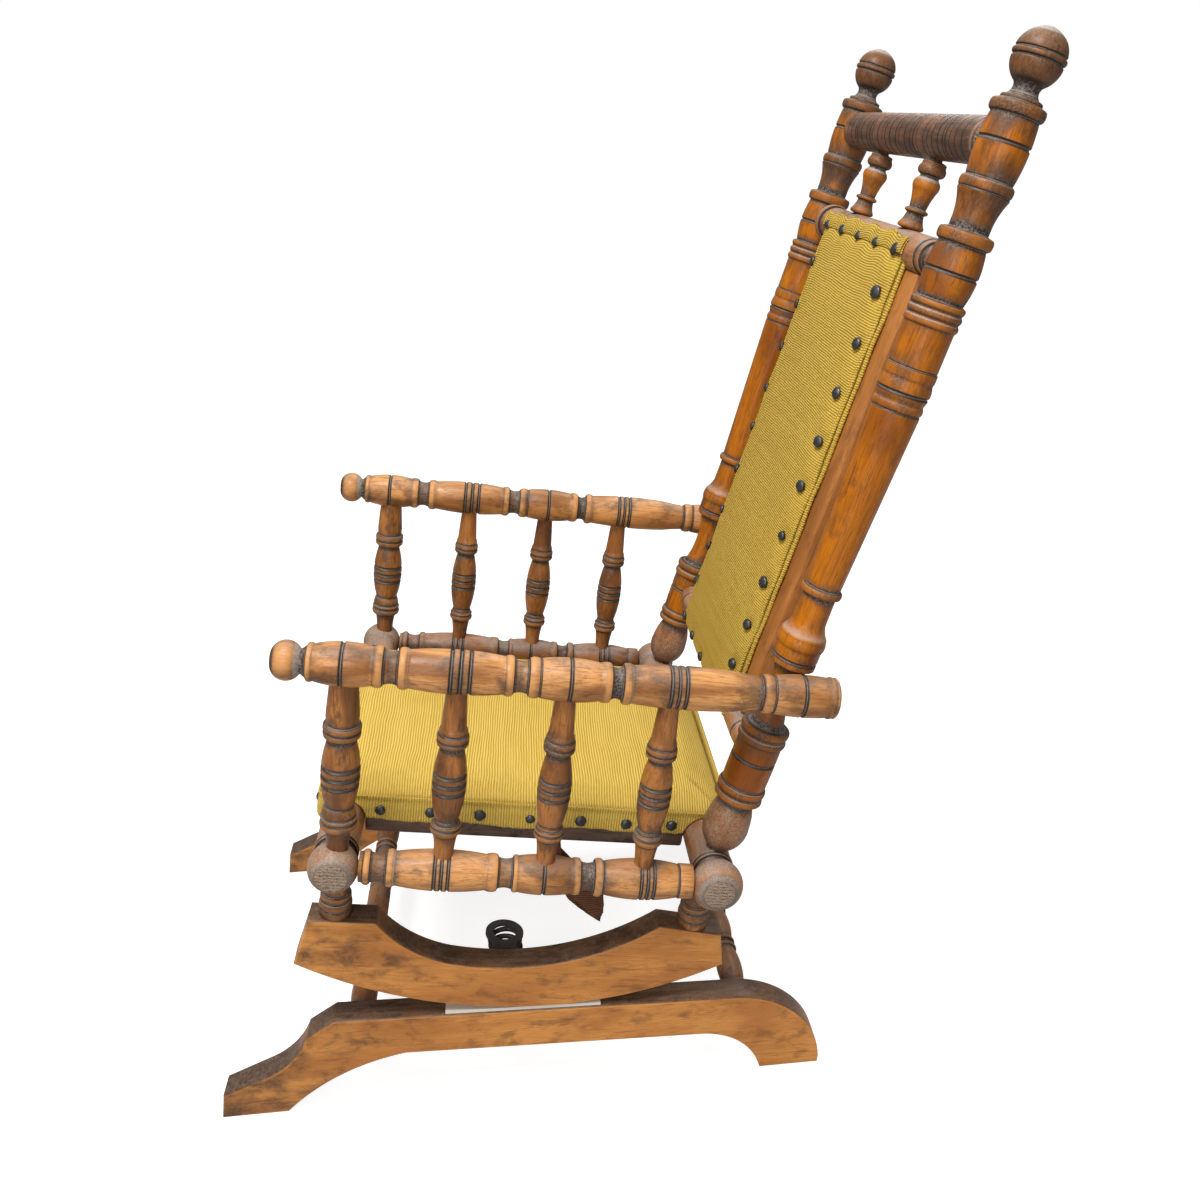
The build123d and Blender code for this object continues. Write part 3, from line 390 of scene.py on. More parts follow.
def woodGroup():
    # old varnished wood: broad and fine tones drawn out along the grain, dirt where it is hollow or busy,
    # painted shade in the deepest hollows, in the grooves and on faces turned down, rubbed edges, pale dust
    # on ledges that is partly a painted highlight, rings on end grain and grey dust on what faces up
    n, i, out = newGroup("oldWood", {
        "Place": None, "Hollow": 0.0, "Crowded": 0.0, "Ledge": 0.0, "Groove": 0.0, "End Grain": 0.0,
        "Up": 0.0,
        "Light": (0.5, 0.25, 0.08), "Mid": (0.3, 0.12, 0.03), "Deep": (0.08, 0.03, 0.012),
        "Dusty And Highlight": (0.34, 0.285, 0.24), "Dirt And Shade": 1.0, "Rub": 1.0, "Dust": 0.3, "Darkening": 0.3, "Film And Highlight": 1.0,
        "Soot": 0.0, "Aged": 0.0})
    place = i["Place"]
    broad = n.drawn(place, (26, 26, 7), 3.0, 0.5, 0.4)
    patches = n.drawn(place, (46, 46, 30), 4.0, 0.62, 0.25)
    streak = n.drawn(place, (330, 330, 17), 3.0, 0.65, 0.3)
    pores = n.drawn(place, (1300, 1300, 70), 2.0, 0.6)
    flecks = n.noise(place, 560.0, 2.0, 0.65)
    speck = n.noise(place, 1500.0, 2.0, 0.6)
    mottle = n.ramp(flecks, 0.4, 0.62)

    tone = n.mix(n.ramp(broad, 0.36, 0.62), i["Mid"], i["Light"])
    tone = n.mix(n.ramp(streak, 0.56, 0.34, 0.0, 0.6), tone, i["Mid"])
    tone = n.mix(n.ramp(streak, 0.56, 0.70, 0.0, 0.55), tone, i["Deep"])
    tone = n.mix(n.times(n.ramp(patches, 0.50, 0.66), i["Darkening"]), tone, i["Deep"])
    poreMask = n.ramp(pores, 0.58, 0.72, 0.0, 0.6)
    tone = n.mix(poreMask, tone, i["Deep"])

    # whole stretches are darker with age, or greyed by dust that was never wiped off
    age = n.plus(i["Aged"], n.ramp(patches, 0.3, 0.7, -0.22, 0.22, False))
    older = n.mix(n.ramp(streak, 0.42, 0.6), (0.050, 0.024, 0.014), (0.105, 0.052, 0.028))
    tone = n.mix(n.ramp(age, 0.28, 1.0, 0.0, 0.9), tone, older)
    greyed = n.times(n.ramp(age, -0.28, -1.0, 0.0, 0.85), n.ramp(flecks, 0.25, 0.55, 0.55, 1.0))
    tone = n.mix(greyed, tone, n.mix(mottle, (0.17, 0.105, 0.066), (0.29, 0.205, 0.15)))

    # hand dirt gathers round the busy parts of a turning
    shaken = n.plus(i["Crowded"], n.ramp(patches, 0.35, 0.65, -0.13, 0.16, False))
    handDirt = n.times(n.ramp(shaken, 0.08, 0.66, 0.0, 0.82), i["Dirt And Shade"], clamp=True)
    tone = n.mix(handDirt, tone, n.mix(mottle, (0.050, 0.024, 0.012), (0.13, 0.070, 0.034)))

    # edges that stand proud are rubbed light, less so where the wood is aged
    worn = n.times(n.ramp(i["Hollow"], 0.0003, 0.0012), n.ramp(patches, 0.68, 0.44, 0.25, 1.0),
                   n.ramp(age, 0.15, 0.75, 1.0, 0.22), i["Rub"], clamp=True)
    tone = n.mix(n.times(worn, 0.72), tone, i["Light"])

    # dirt fills the hollows, darkest at their edges, where the deepest hollows and the faces turned down are
    # painted near-black: partly dirt, partly painted shade
    hollowNoise = n.plus(i["Hollow"], n.ramp(patches, 0.3, 0.7, 0.0006, -0.0008, False))
    dirt = n.times(n.ramp(hollowNoise, -0.0001, -0.0020), i["Dirt And Shade"], clamp=True)
    tone = n.mix(n.times(dirt, 0.85), tone, (0.050, 0.031, 0.021))
    # painted shade: the faces turned down beside the hollows, and the deepest hollows, go near-black
    undersideShade = n.times(n.ramp(i["Ledge"], -0.2, -0.62), n.ramp(i["Hollow"], 0.0009, -0.0002), 0.85)
    deepDirtAndShade = n.times(n.most(n.ramp(i["Hollow"], -0.0009, -0.0015), undersideShade), i["Dirt And Shade"], clamp=True)
    tone = n.mix(n.times(deepDirtAndShade, 0.9), tone, (0.013, 0.009, 0.007))

    # wax and dust lie on ledges, in the bottom of each groove and thinly in every hollow; the pale grey on
    # the ledges is partly a painted highlight
    filmAndHighlight = n.times(n.ramp(i["Ledge"], 0.30, 0.7), n.ramp(i["Hollow"], 0.0010, 0.0001),
                   n.ramp(flecks, 0.28, 0.52, 0.35, 0.9), n.ramp(i["Groove"], 0.02, 0.1, 1.0, 0.0))
    # the grooves are painted near-black across their width: partly dirt, partly painted shade
    tone = n.mix(n.ramp(i["Groove"], 0.04, 0.28, 0.0, 0.93), tone, (0.016, 0.011, 0.009))
    settled = n.times(n.ramp(i["Groove"], 0.65, 0.9), n.ramp(flecks, 0.26, 0.50, 0.08, 0.38))
    haze = n.times(n.ramp(hollowNoise, -0.0004, -0.0024, 0.0, 0.42), n.ramp(flecks, 0.38, 0.64))
    filmAndHighlight = n.times(n.most(filmAndHighlight, settled, haze), i["Film And Highlight"], clamp=True)
    tone = n.mix(filmAndHighlight, tone, i["Dusty And Highlight"])

    ringWave = n.add("ShaderNodeTexWave", wave_type="BANDS", bands_direction="X")
    for key, value in (("Vector", place), ("Scale", 90.0), ("Distortion", 6.0), ("Detail", 3.0),
                       ("Detail Scale", 1.6)):
        n.put(value, ringWave.inputs[key])
    ringWave = ringWave.outputs["Fac"]
    endTone = n.mix(n.ramp(ringWave, 0.2, 0.8), (0.10, 0.062, 0.040), (0.24, 0.165, 0.11))
    endTone = n.mix(n.ramp(flecks, 0.42, 0.6, 0.0, 0.6), endTone, (0.30, 0.245, 0.19))
    tone = n.mix(n.times(i["End Grain"], 0.9), tone, endTone)

    # soot and dust on what faces up
    dustMask = n.times(n.ramp(i["Up"], 0.3, 0.95), n.ramp(patches, 0.30, 0.60), i["Dust"],
                       n.ramp(flecks, 0.30, 0.56, 0.4, 1.0), clamp=True)
    soot = n.times(n.ramp(i["Up"], 0.25, 0.75), n.ramp(patches, 0.72, 0.40, 0.72, 1.0), i["Soot"],
                   clamp=True)
    sootTone = n.mix(n.ramp(streak, 0.42, 0.64), (0.030, 0.021, 0.016), (0.085, 0.058, 0.044))
    tone = n.mix(soot, tone, n.mix(n.ramp(flecks, 0.54, 0.76, 0.0, 0.22), sootTone, i["Dusty And Highlight"]))
    tone = n.mix(dustMask, tone, i["Dusty And Highlight"])
    tone = n.mix(n.ramp(speck, 0.62, 0.76, 0.0, 0.6), tone, i["Deep"])
    tone = n.mix(n.ramp(speck, 0.38, 0.26, 0.0, 0.25), tone, i["Light"])

    rough = n.plus(n.ramp(patches, 0.3, 0.7, 0.30, 0.46), n.times(n.most(dirt, handDirt), 0.22),
                   n.times(n.most(dustMask, filmAndHighlight), 0.4), n.times(i["End Grain"], 0.3), clamp=True)
    height = n.plus(n.times(streak, 0.5), n.times(poreMask, -1.0), n.times(patches, 0.8),
                    n.times(i["End Grain"], ringWave, 0.8))
    for value, socket in ((tone, "Color"), (rough, "Roughness"), (height, "Height")):
        n.join(value, out[socket])
    return n.tree


def clothGroup():
    # corded cloth: a sine of the way across the ribs, its phase shaken a little, and knots along each cord
    n, i, out = newGroup("cordedCloth", {
        "Place": None, "Across": 0.0, "Along": 0.0, "Pitch": 0.0032, "Knot": 0.0019,
        "Top": (0.6, 0.45, 0.12), "Valley": (0.2, 0.13, 0.02), "Soil": (0.3, 0.2, 0.05), "Worn": 0.3})
    place = i["Place"]
    drift = n.noise(place, 16.0, 2.0, 0.5)
    shake = n.noise(place, 260.0, 2.0, 0.5)
    fuzz = n.noise(place, 2600.0, 2.0, 0.6)
    across = n.plus(i["Across"], n.times(drift, 0.006), n.times(shake, 0.0009))
    cord = n.math("DIVIDE", (across, i["Pitch"]))
    wave = n.math("SINE", (n.times(cord, 2 * math.pi), 0.0))
    index = n.math("FLOOR", (cord, 0.0))
    knotWay = n.plus(n.math("DIVIDE", (i["Along"], i["Knot"])), n.times(index, 0.5), n.times(shake, 0.8))
    knot = n.math("SINE", (n.times(knotWay, 2 * math.pi), 0.0))
    thick = n.plus(n.times(wave, 0.36), n.times(knot, 0.14), n.times(fuzz, 0.35))
    ribUneven = n.drawn(place, (9, 330, 330), 2.0, 0.5)
    # rib valleys are painted darker than the rib tops: painted shade between the cords
    shade = n.ramp(n.plus(thick, n.times(ribUneven, 0.5)), -0.12, 0.75)
    tone = n.mix(shade, i["Valley"], i["Top"])
    blotch = n.noise(place, 9.0, 4.0, 0.6)
    tone = n.mix(n.times(n.ramp(blotch, 0.46, 0.70), i["Worn"]), tone, i["Soil"])
    pale = n.noise(place, 14.0, 3.0, 0.6, 0.4)
    tone = n.mix(n.ramp(pale, 0.56, 0.74, 0.0, 0.2), tone, i["Top"])
    rough = n.ramp(fuzz, 0.3, 0.7, 0.78, 0.95)
    for value, socket in ((tone, "Color"), (rough, "Roughness"), (thick, "Height")):
        n.join(value, out[socket])
    return n.tree


def newMaterial(name):
    material = bpy.data.materials.new(name)
    material.use_nodes = True
    return material, Nodes(material.node_tree), material.node_tree.nodes["Principled BSDF"].inputs


def addBump(n, shader, height, strength, depth):
    bump = n.add("ShaderNodeBump")
    for key, value in (("Strength", strength), ("Distance", depth), ("Height", height)):
        n.put(value, bump.inputs[key])
    n.join(bump.outputs["Normal"], shader["Normal"])


def groupedMaterial(name, look, group, attributes):
    # colour, roughness and bump from a node group that is fed by the mesh's attributes
    material, n, shader = newMaterial(name)
    made = n.add("ShaderNodeGroup", node_tree=group)
    for socket, attribute in attributes.items():
        source = n.add("ShaderNodeAttribute", attribute_name=attribute)
        n.join(source.outputs["Vector" if socket == "Place" else "Fac"], made.inputs[socket])
    for key, value in look.items():
        if key in made.inputs:
            n.put(value, made.inputs[key])
    addBump(n, shader, made.outputs["Height"], look["bumpStrength"], look["bumpDepth"])
    n.join(made.outputs["Color"], shader["Base Color"])
    n.join(made.outputs["Roughness"], shader["Roughness"])
    shader["Specular IOR Level"].default_value = look["specular"]
    if "varnish" in look:
        shader["Coat Weight"].default_value = look["varnish"]
        shader["Coat Roughness"].default_value = 0.34
    return material


woodAttributes = {"Place": "grainPlace", "Hollow": "hollow", "End Grain": "endGrain", "Up": "upFacing",
                  "Crowded": "crowded", "Ledge": "ledge", "Groove": "groove", "Aged": "aged"}
plainWood = {"Dirt And Shade": 1.0, "Rub": 0.8, "Dust": 0.2, "Darkening": 0.5, "Film And Highlight": 0.9, "Soot": 0.0,
             "specular": 0.20, "varnish": 0.10, "bumpStrength": 0.5, "bumpDepth": 0.0007}
woodLooks = {
    "goldenTurned": {
        "Light": (0.54, 0.252, 0.082), "Mid": (0.205, 0.076, 0.019), "Deep": (0.045, 0.019, 0.009),
        "Rub": 1.0},
    "brownTurned": {
        "Light": (0.34, 0.130, 0.030), "Mid": (0.135, 0.047, 0.012), "Deep": (0.030, 0.013, 0.007),
        "Rub": 0.9, "Dust": 0.30, "Film And Highlight": 0.95, "varnish": 0.12},
    "crossTurned": {
        "Light": (0.36, 0.150, 0.055), "Mid": (0.19, 0.080, 0.034), "Deep": (0.045, 0.022, 0.013),
        "Dust": 0.60, "Film And Highlight": 0.45, "varnish": 0.08},
    # darker copy of the turned wood, given to the far side rail only: painted shade
    "farTurnedShaded": {
        "Light": (0.26, 0.100, 0.030), "Mid": (0.12, 0.046, 0.018), "Deep": (0.030, 0.015, 0.010),
        "Dust": 0.5, "Darkening": 0.8, "Film And Highlight": 0.5, "varnish": 0.06},
    "orangePost": {
        "Light": (0.37, 0.112, 0.003), "Mid": (0.185, 0.048, 0.002), "Deep": (0.040, 0.014, 0.004),
        "Darkening": 0.28, "varnish": 0.05, "bumpStrength": 0.45, "bumpDepth": 0.0006},
    "darkRoller": {
        "Light": (0.230, 0.090, 0.032), "Mid": (0.080, 0.032, 0.014), "Deep": (0.014, 0.009, 0.007),
        "Dust": 0.10, "Darkening": 0.6, "Film And Highlight": 0.30, "varnish": 0.08, "bumpStrength": 0.6,
        "bumpDepth": 0.0008},
    "boardFace": {
        "Light": (0.53, 0.222, 0.050), "Mid": (0.37, 0.138, 0.030), "Deep": (0.130, 0.048, 0.014),
        "Rub": 0.6, "Dust": 0.05, "Darkening": 0.28, "Film And Highlight": 0.3, "Soot": 0.92, "varnish": 0.04,
        "bumpDepth": 0.0008},
    "frameBar": {
        "Light": (0.13, 0.070, 0.042), "Mid": (0.065, 0.038, 0.026), "Deep": (0.015, 0.011, 0.010),
        "Rub": 0.6, "Dust": 0.3, "Darkening": 0.8, "Film And Highlight": 0.6, "Soot": 0.5, "varnish": 0.05,
        "bumpStrength": 0.6, "bumpDepth": 0.0008},
    "plainStile": {
        "Light": (0.37, 0.140, 0.032), "Mid": (0.24, 0.082, 0.018), "Deep": (0.09, 0.034, 0.012),
        "Dirt And Shade": 0.8, "Rub": 0.6, "Dust": 0.1, "Darkening": 0.35, "Film And Highlight": 0.3, "bumpStrength": 0.4,
        "bumpDepth": 0.0005},
}
woodNodes = woodGroup()
woods = {name: groupedMaterial(name, {**plainWood, **look}, woodNodes, woodAttributes)
         for name, look in woodLooks.items()}

clothAttributes = {"Place": "restPlace", "Across": "ribAcross", "Along": "ribAlong"}
mustard = {
    "Top": (0.62, 0.425, 0.092), "Valley": (0.33, 0.210, 0.032), "Soil": (0.42, 0.26, 0.038),
    "Worn": 0.35, "Pitch": 0.0028, "Knot": 0.0019, "bumpStrength": 0.8, "bumpDepth": 0.0009,
    "specular": 0.12}
clothLooks = {
    "mustardCord": {},
    "mustardCordBack": {"Top": (0.50, 0.335, 0.058), "Valley": (0.23, 0.142, 0.017), "Pitch": 0.0024},
    "juteWeb": {"Top": (0.30, 0.19, 0.10), "Valley": (0.10, 0.055, 0.028), "Soil": (0.12, 0.06, 0.03),
                "Worn": 0.5, "Pitch": 0.0026, "Knot": 0.0024, "bumpStrength": 0.7},
    "darkWeb": {"Top": (0.155, 0.070, 0.035), "Valley": (0.045, 0.022, 0.013), "Soil": (0.03, 0.016, 0.01),
                "Worn": 0.6, "Pitch": 0.0026, "Knot": 0.0024, "bumpDepth": 0.0010},
    "paleFelt": {"Top": (0.62, 0.58, 0.50), "Valley": (0.36, 0.31, 0.25), "Soil": (0.22, 0.17, 0.12),
                 "Worn": 0.6, "Pitch": 0.0017, "Knot": 0.0015, "bumpStrength": 0.4, "bumpDepth": 0.0004},
}
clothNodes = clothGroup()
cloths = {name: groupedMaterial(name, {**mustard, **look}, clothNodes, clothAttributes)
          for name, look in clothLooks.items()}

metalLooks = {
    "gunmetalTack": {"base": (0.055, 0.058, 0.060), "rust": (0.05, 0.035, 0.025), "roughness": 0.36,
                     "metallic": 0.75},
    "oldIron": {"base": (0.050, 0.046, 0.044), "rust": (0.085, 0.040, 0.022), "roughness": 0.55,
                "metallic": 0.6},
}


def makeMetal(name, look):
    material, n, shader = newMaterial(name)
    place = n.add("ShaderNodeTexCoord").outputs["Object"]
    spots = n.noise(place, 240.0, 3.0, 0.6)
    grit = n.noise(place, 1700.0, 2.0, 0.6)
    tone = n.mix(n.ramp(spots, 0.5, 0.68), look["base"], look["rust"])
    n.join(n.mix(n.ramp(grit, 0.55, 0.75, 0.0, 0.35), tone, (0.16, 0.15, 0.14)), shader["Base Color"])
    n.join(n.ramp(spots, 0.4, 0.7, look["roughness"], look["roughness"] + 0.25), shader["Roughness"])
    shader["Metallic"].default_value = look["metallic"]
    addBump(n, shader, grit, 0.35, 0.0003)
    return material


metals = {name: makeMetal(name, look) for name, look in metalLooks.items()}
print("materials made")


# turned pieces; where a shape names a radius, its stretches give radii as offsets from it

arms = {
    "radius": 20.6, "height": 396.5, "frontY": -297.0,
    "stretches": [
        (26, -12.1, -2.2, -9.6), (5, -9.6, -5.5), (6, -2.6), (51, -3.6, 0, -2.6), (10, -1.3),
        (13, -4, -6, -4), (9, -1.3), (85, -3, 0, -3), (9, -1.6), (13, -4.5, -6.3, -4.5), (11, -1.6),
        (54, -2.3, -0.1, -2.6),
        (11, -1.6), (10, -4.5, -6.5, -4.5), (9, -1.1), (96, -2.8, 0, -1.6), (26, -1.6, -3.6, -5), (12, -2),
        (51, -2.4, -0.3, -1.4), (7, -0.6), (4, -0.6, -1.4, -5)],
    "grooves": [(62, 1.5, 1.7), (157.5, 1.5, 1.7), (166, 1.6, 1.9), (174.5, 1.5, 1.7), (265, 1.5, 1.7),
                (357, 1.5, 1.6), (371, 1.5, 1.6), (364, 1.3, 1.3), (483.7, 1.5, 1.7)],
    "aged": [(0, 0.5), (30, 0.3), (60, 0.1), (300, 0), (340, 0.2), (420, 0), (455, -0.1), (510, 0.1)]}
surface = turnedSurface(arms)
for side, word in sides:
    place = chairPlace @ moveBy(side * attitude["sideX"], arms["frontY"], arms["height"]) @ layAlongY
    finishPiece("arm_turning_" + word, surface, place, "goldenTurned", "arm_" + word)

sideRails = {
    "radius": 20.4, "startY": -212.1,
    "stretches": [
        (4, -5.5), (7, -3), (15, -5.5, -7, -5.5), (8, -2), (87, -4, 0, -3), (12, -1.6), (14, -5, -6.5, -5),
        (6, -2), (51, -2.6, -0.6, -3), (10, -2), (13, -5.5, -7, -5.5), (9, -1.5), (76, -4, 0, -4),
        (14.2, -3)],
    "grooves": [(72, 1.4, 1.5), (78.5, 1.4, 1.5), (85, 1.4, 1.5), (177.6, 1.5, 1.7), (273, 1.4, 1.5),
                (279.5, 1.4, 1.5), (286, 1.4, 1.5)],
    "aged": [(0, -0.2), (30, 0.25), (60, 0), (120, 0), (190, -0.15), (250, 0), (326, 0.2)]}
surface = turnedSurface(sideRails)
for side, word in sides:
    place = moveBy(side * attitude["sideX"], sideRails["startY"], attitude["railHeight"])
    # the far side rail takes the darker copy of the wood: painted shade
    finishPiece("side_rail_turning_" + word, surface, chairPlace @ place @ layAlongY,
                "goldenTurned" if side > 0 else "farTurnedShaded", "lower_side_rail_" + word)

backPosts = {
    "radius": 22.4, "tenon": 13.0, "around": 48,
    "stretches": [
        (13, -11.4), (30, -9.4, 0, 0.6), (28, 0.6, -1.4, -7), (7, 2.3), (2, 0.6), (9, 2.3), (50, 0, 0.4, 0),
        (8, 2.2), (2, 0.4), (9, 2.2), (40, -5, -9.3, -9.8), (28, -9.8, -9, -5), (20, 0), (12, 1.5),
        (15, 1.5, -3.5, -6), (28, -6, -6.6), (8, -2.4), (175, -5.5, 0.4), (9, 1), (2, 1, 0), (18, 0, 1.8, 0),
        (2, 0, 1), (8, 1), (37, 0), (6.5, 2), (1.5, 0.3), (6, 2), (1.5, 0.3), (6.5, 2), (48, -2, 1.2, -1.6),
        (11, 2), (9, -5), (23, -5, -3.4, 0.6), (10, 1), (51, -2.2, 0, -2), (10, 1.2), (4, -4.4, -5),
        (11, -5, -11.4, -10), (17.5, -10, -2.6, -0.8), (1, -1.9), (5, 0.2), (1, -1.6),
        (12.5, -0.8, -2.6, -7.2), (4.3, -7.2, -10.2, -13.6), (1.7, -13.6, -15.8, -18.4)],
    "grooves": [(120, 1.5, 1.6), (234, 1.4, 1.4), (501, 1.5, 1.5), (606, 1.5, 1.6), (713, 1.5, 1.6)],
    "aged": [(0, -0.9), (60, -0.7), (95, -0.1), (140, 0.55), (200, 0.5), (235, 0.25), (300, 0), (520, 0),
             (585, 0.25), (618, 0.6), (640, 0.4), (662, 0.85), (690, 0.7), (712, 0.3), (735, 0.75), (762, 1),
             (850, 1)]}
surface = turnedSurface(backPosts)
for side, word in sides:
    place = moveBy(side * attitude["postX"], 0, 0) @ backPlace @ moveBy(0, 0, -backPosts["tenon"])
    finishPiece("back_post_turning_" + word, surface, place, "orangePost", "back_post_" + word)

crossRails = {"front": {"y": -236.0, "knob": 23.0}, "rear": {"y": 140.0, "knob": 25.0}}
crossRailAged = [(0, -0.95), (50, -0.75), (90, 0.1), (460, 0.1), (500, -0.75), (550, -0.95)]
for word, rail in crossRails.items():
    rim = rail["knob"] - 1.6
    half = [(162, 21), (3, 19.5), (59, 21), (3, 21.9), (2, 20.4), (3, 21.7), (4, 18.5),
            (29.5, 18.5, rail["knob"] + 1.2, rim), (5, rim, 17.5), (1.5, 17.5, 15)]
    surface = turnedSurface({"stretches": bothWays(half), "perMm": 0.5, "aged": crossRailAged})
    place = moveBy(-sum(item[0] for item in half), rail["y"], attitude["railHeight"])
    finishPiece(word + "_cross_rail_turning", surface, chairPlace @ place @ layAlongX, "crossTurned",
                word + "_cross_rail")
print("arms, posts and rails made")

frontPosts = {
    "y": -233.0, "footZ": 192.0, "around": 40,
    "stretches": [
        (34, 11, 10.6, 13), (3, 16.4, 17.6), (4, 17.6), (1.5, 15.4), (5, 17.2), (1.5, 14.6), (3, 16.2, 15.6),
        (6, 15.6, 14.2), (71, 13, 18.2, 13), (3, 14.4), (6, 17, 17.6), (1.6, 15.2), (6, 17.8, 17.2),
        (3.4, 15), (5, 15, 15.4), (41.9, 15.4, 12.5)],
    "grooves": [(83, 1.7, 2), (92.5, 1.7, 2), (102, 1.7, 2)],
    "aged": [(0, -0.5), (40, 0.35), (70, 0), (120, 0.5), (196, 0.2)]}
armSpindles = {
    "places": (-133.0, -34.0, 63.0), "footZ": 189.4, "around": 34,
    "stretches": [
        (36.6, 9.5, 9.6, 12), (2.5, 13.8, 14.7), (3.5, 14.7), (1.4, 12.8), (3.6, 14.4), (4, 12.4, 12),
        (79, 11, 16.2, 10.8), (2, 12.8), (5, 14.6, 15.2), (1.4, 13.2), (5.6, 15.2, 14.6), (1.4, 12.8),
        (3.6, 13.8, 13), (2, 13, 12), (46.3, 12, 9)],
    "grooves": [(84.6, 1.6, 1.9), (93.6, 1.6, 1.9), (102.6, 1.6, 1.9)],
    "aged": [(0, -0.45), (30, -0.2), (52, 0.2), (80, 0), (118, 0.1), (132, 0.75), (150, 0.1), (175, -0.1),
             (199, 0.6)]}
frontPostSurface, spindleSurface = turnedSurface(frontPosts), turnedSurface(armSpindles)
for side, word in sides:
    place = chairPlace @ moveBy(side * attitude["sideX"], frontPosts["y"], frontPosts["footZ"])
    finishPiece("front_post_turning_" + word, frontPostSurface, place, "brownTurned", "front_post_" + word)
    for number, y in enumerate(armSpindles["places"], start=1):
        place = chairPlace @ moveBy(side * attitude["sideX"], y, armSpindles["footZ"])
        finishPiece(f"spindle_turning_{word}_{number}", spindleSurface, place, "brownTurned",
                    f"arm_spindle_{word}_{number}")

legs = {"x": 215.5, "tops": 159.7, "feet": {"front": (-236.0, 98.5), "rear": (132.0, 103.9)}}
for word, (y, z) in legs["feet"].items():
    waist = legs["tops"] - z - 42
    surface = turnedSurface({"around": 40, "stretches": [
        (8, 16, 16.2), (1.4, 14.6), (9, 16, 16.6, 15.4), (1.4, 14), (6, 15.6, 15.4),
        (waist, 13.4, 12.2, 12.6), (6, 14.6, 15.2), (1.4, 13.2), (8.8, 14.8, 14.6), (12, 14.6, 9)]})
    for side, hand in sides:
        place = chairPlace @ moveBy(side * legs["x"], y, z + 0.4)
        finishPiece(f"{word}_leg_turning_{hand}", surface, place, "brownTurned", f"{word}_leg_{hand}")

# halves of the back's rails from their middle outwards
backRails = {
    "bottom": {"s": 107.0, "look": "crossTurned", "node": "back_bottom_rail", "perMm": 0.45, "around": 40,
               "half": [(167.9, 15), (2, 13.6), (22, 15, 13.2)]},
    "top": {"s": 599.0, "look": "crossTurned", "node": "back_top_rail", "perMm": 0.45, "around": 40,
            "half": [(147.9, 17.5), (12, 17.5, 17.6, 17), (2, 15.2), (14, 16.6, 15.6, 14.6),
                     (16, 14.6, 14.8)]},
    "crest": {"s": 701.0, "look": "darkRoller", "node": "crest_rail", "perMm": 0.6, "around": 40,
              "half": [(188.9, 20.3, 20.1), (3, 18, 17.4)]},
}
backReach = 191.9

# the crest rail is cut all along with uneven grooves, its bands darker or browner by turns
rng = np.random.default_rng(21)
cuts = np.cumsum(rng.uniform(7, 19, 40))
cuts = cuts[cuts < 2 * backReach - 12] + 4
cutHalves, cutDepths = rng.uniform(0.6, 1.1, 40), rng.uniform(0.8, 1.6, 40)
bandAges = rng.uniform(0.0, 0.8, 40)[:len(cuts)] + np.interp(cuts, [200, 300], [0, 0.5])
backRails["crest"]["grooves"] = list(zip(cuts, cutHalves, cutDepths))
backRails["crest"]["aged"] = [(cut + shift, value) for cut, value in zip(cuts, bandAges)
                              for shift in (0.1, 6.0)]
for word, rail in backRails.items():
    surface = turnedSurface({**rail, "stretches": bothWays(rail["half"])})
    place = backPlace @ moveBy(-backReach, 0, rail["s"]) @ layAlongX
    finishPiece(f"back_{word}_rail_turning", surface, place, rail["look"], rail["node"])

crestSpindles = {
    "x": 80.0, "start": 607.7, "around": 32, "perMm": 0.9,
    "stretches": [
        (8.8, 6), (5, 11, 12.8, 11.6), (10, 11.6, 9.4, 8.4), (4, 10.4, 11.4, 10.4), (18, 8.2, 9.4, 12),
        (10, 12, 12.9, 9.8), (2.5, 9.2), (9, 11, 13.4, 11.6), (4.2, 11.6, 11.4), (8.7, 6)],
    "aged": [(0, 0.3), (50, 0.1), (62, 0.9)]}
surface = turnedSurface(crestSpindles)
for side, word in sides:
    place = backPlace @ moveBy(side * crestSpindles["x"], 0, crestSpindles["start"])
    finishPiece("crest_spindle_turning_" + word, surface, place, "orangePost", "crest_spindle_" + word)

stretchers = {
    "places": {"front": (-213.0, 86.0), "rear": (200.0, 76.0)},
    "half": [
        (26, 13.5), (2, 12.2), (14, 13.2, 13.5), (5, 11.8, 10.4, 11.4), (5, 14.2), (1.5, 12.4), (4, 13.9),
        (52, 11.4, 14.4, 11), (6, 14), (5, 11.6, 10.6, 11.6), (6, 14), (56, 11.4, 14.4, 11.4),
        (17.2, 13.6, 13.4)]}
surface = turnedSurface({"stretches": bothWays(stretchers["half"]), "perMm": 0.45, "around": 32})
for word, (y, z) in stretchers["places"].items():
    place = platformPlace @ moveBy(-sum(item[0] for item in stretchers["half"]), y, z) @ layAlongX
    finishPiece("stretcher_turning_" + word, surface, place, "brownTurned", "base_stretcher_" + word,
                "platform")
print("posts, spindles, legs and stretchers made")


# sawn boards

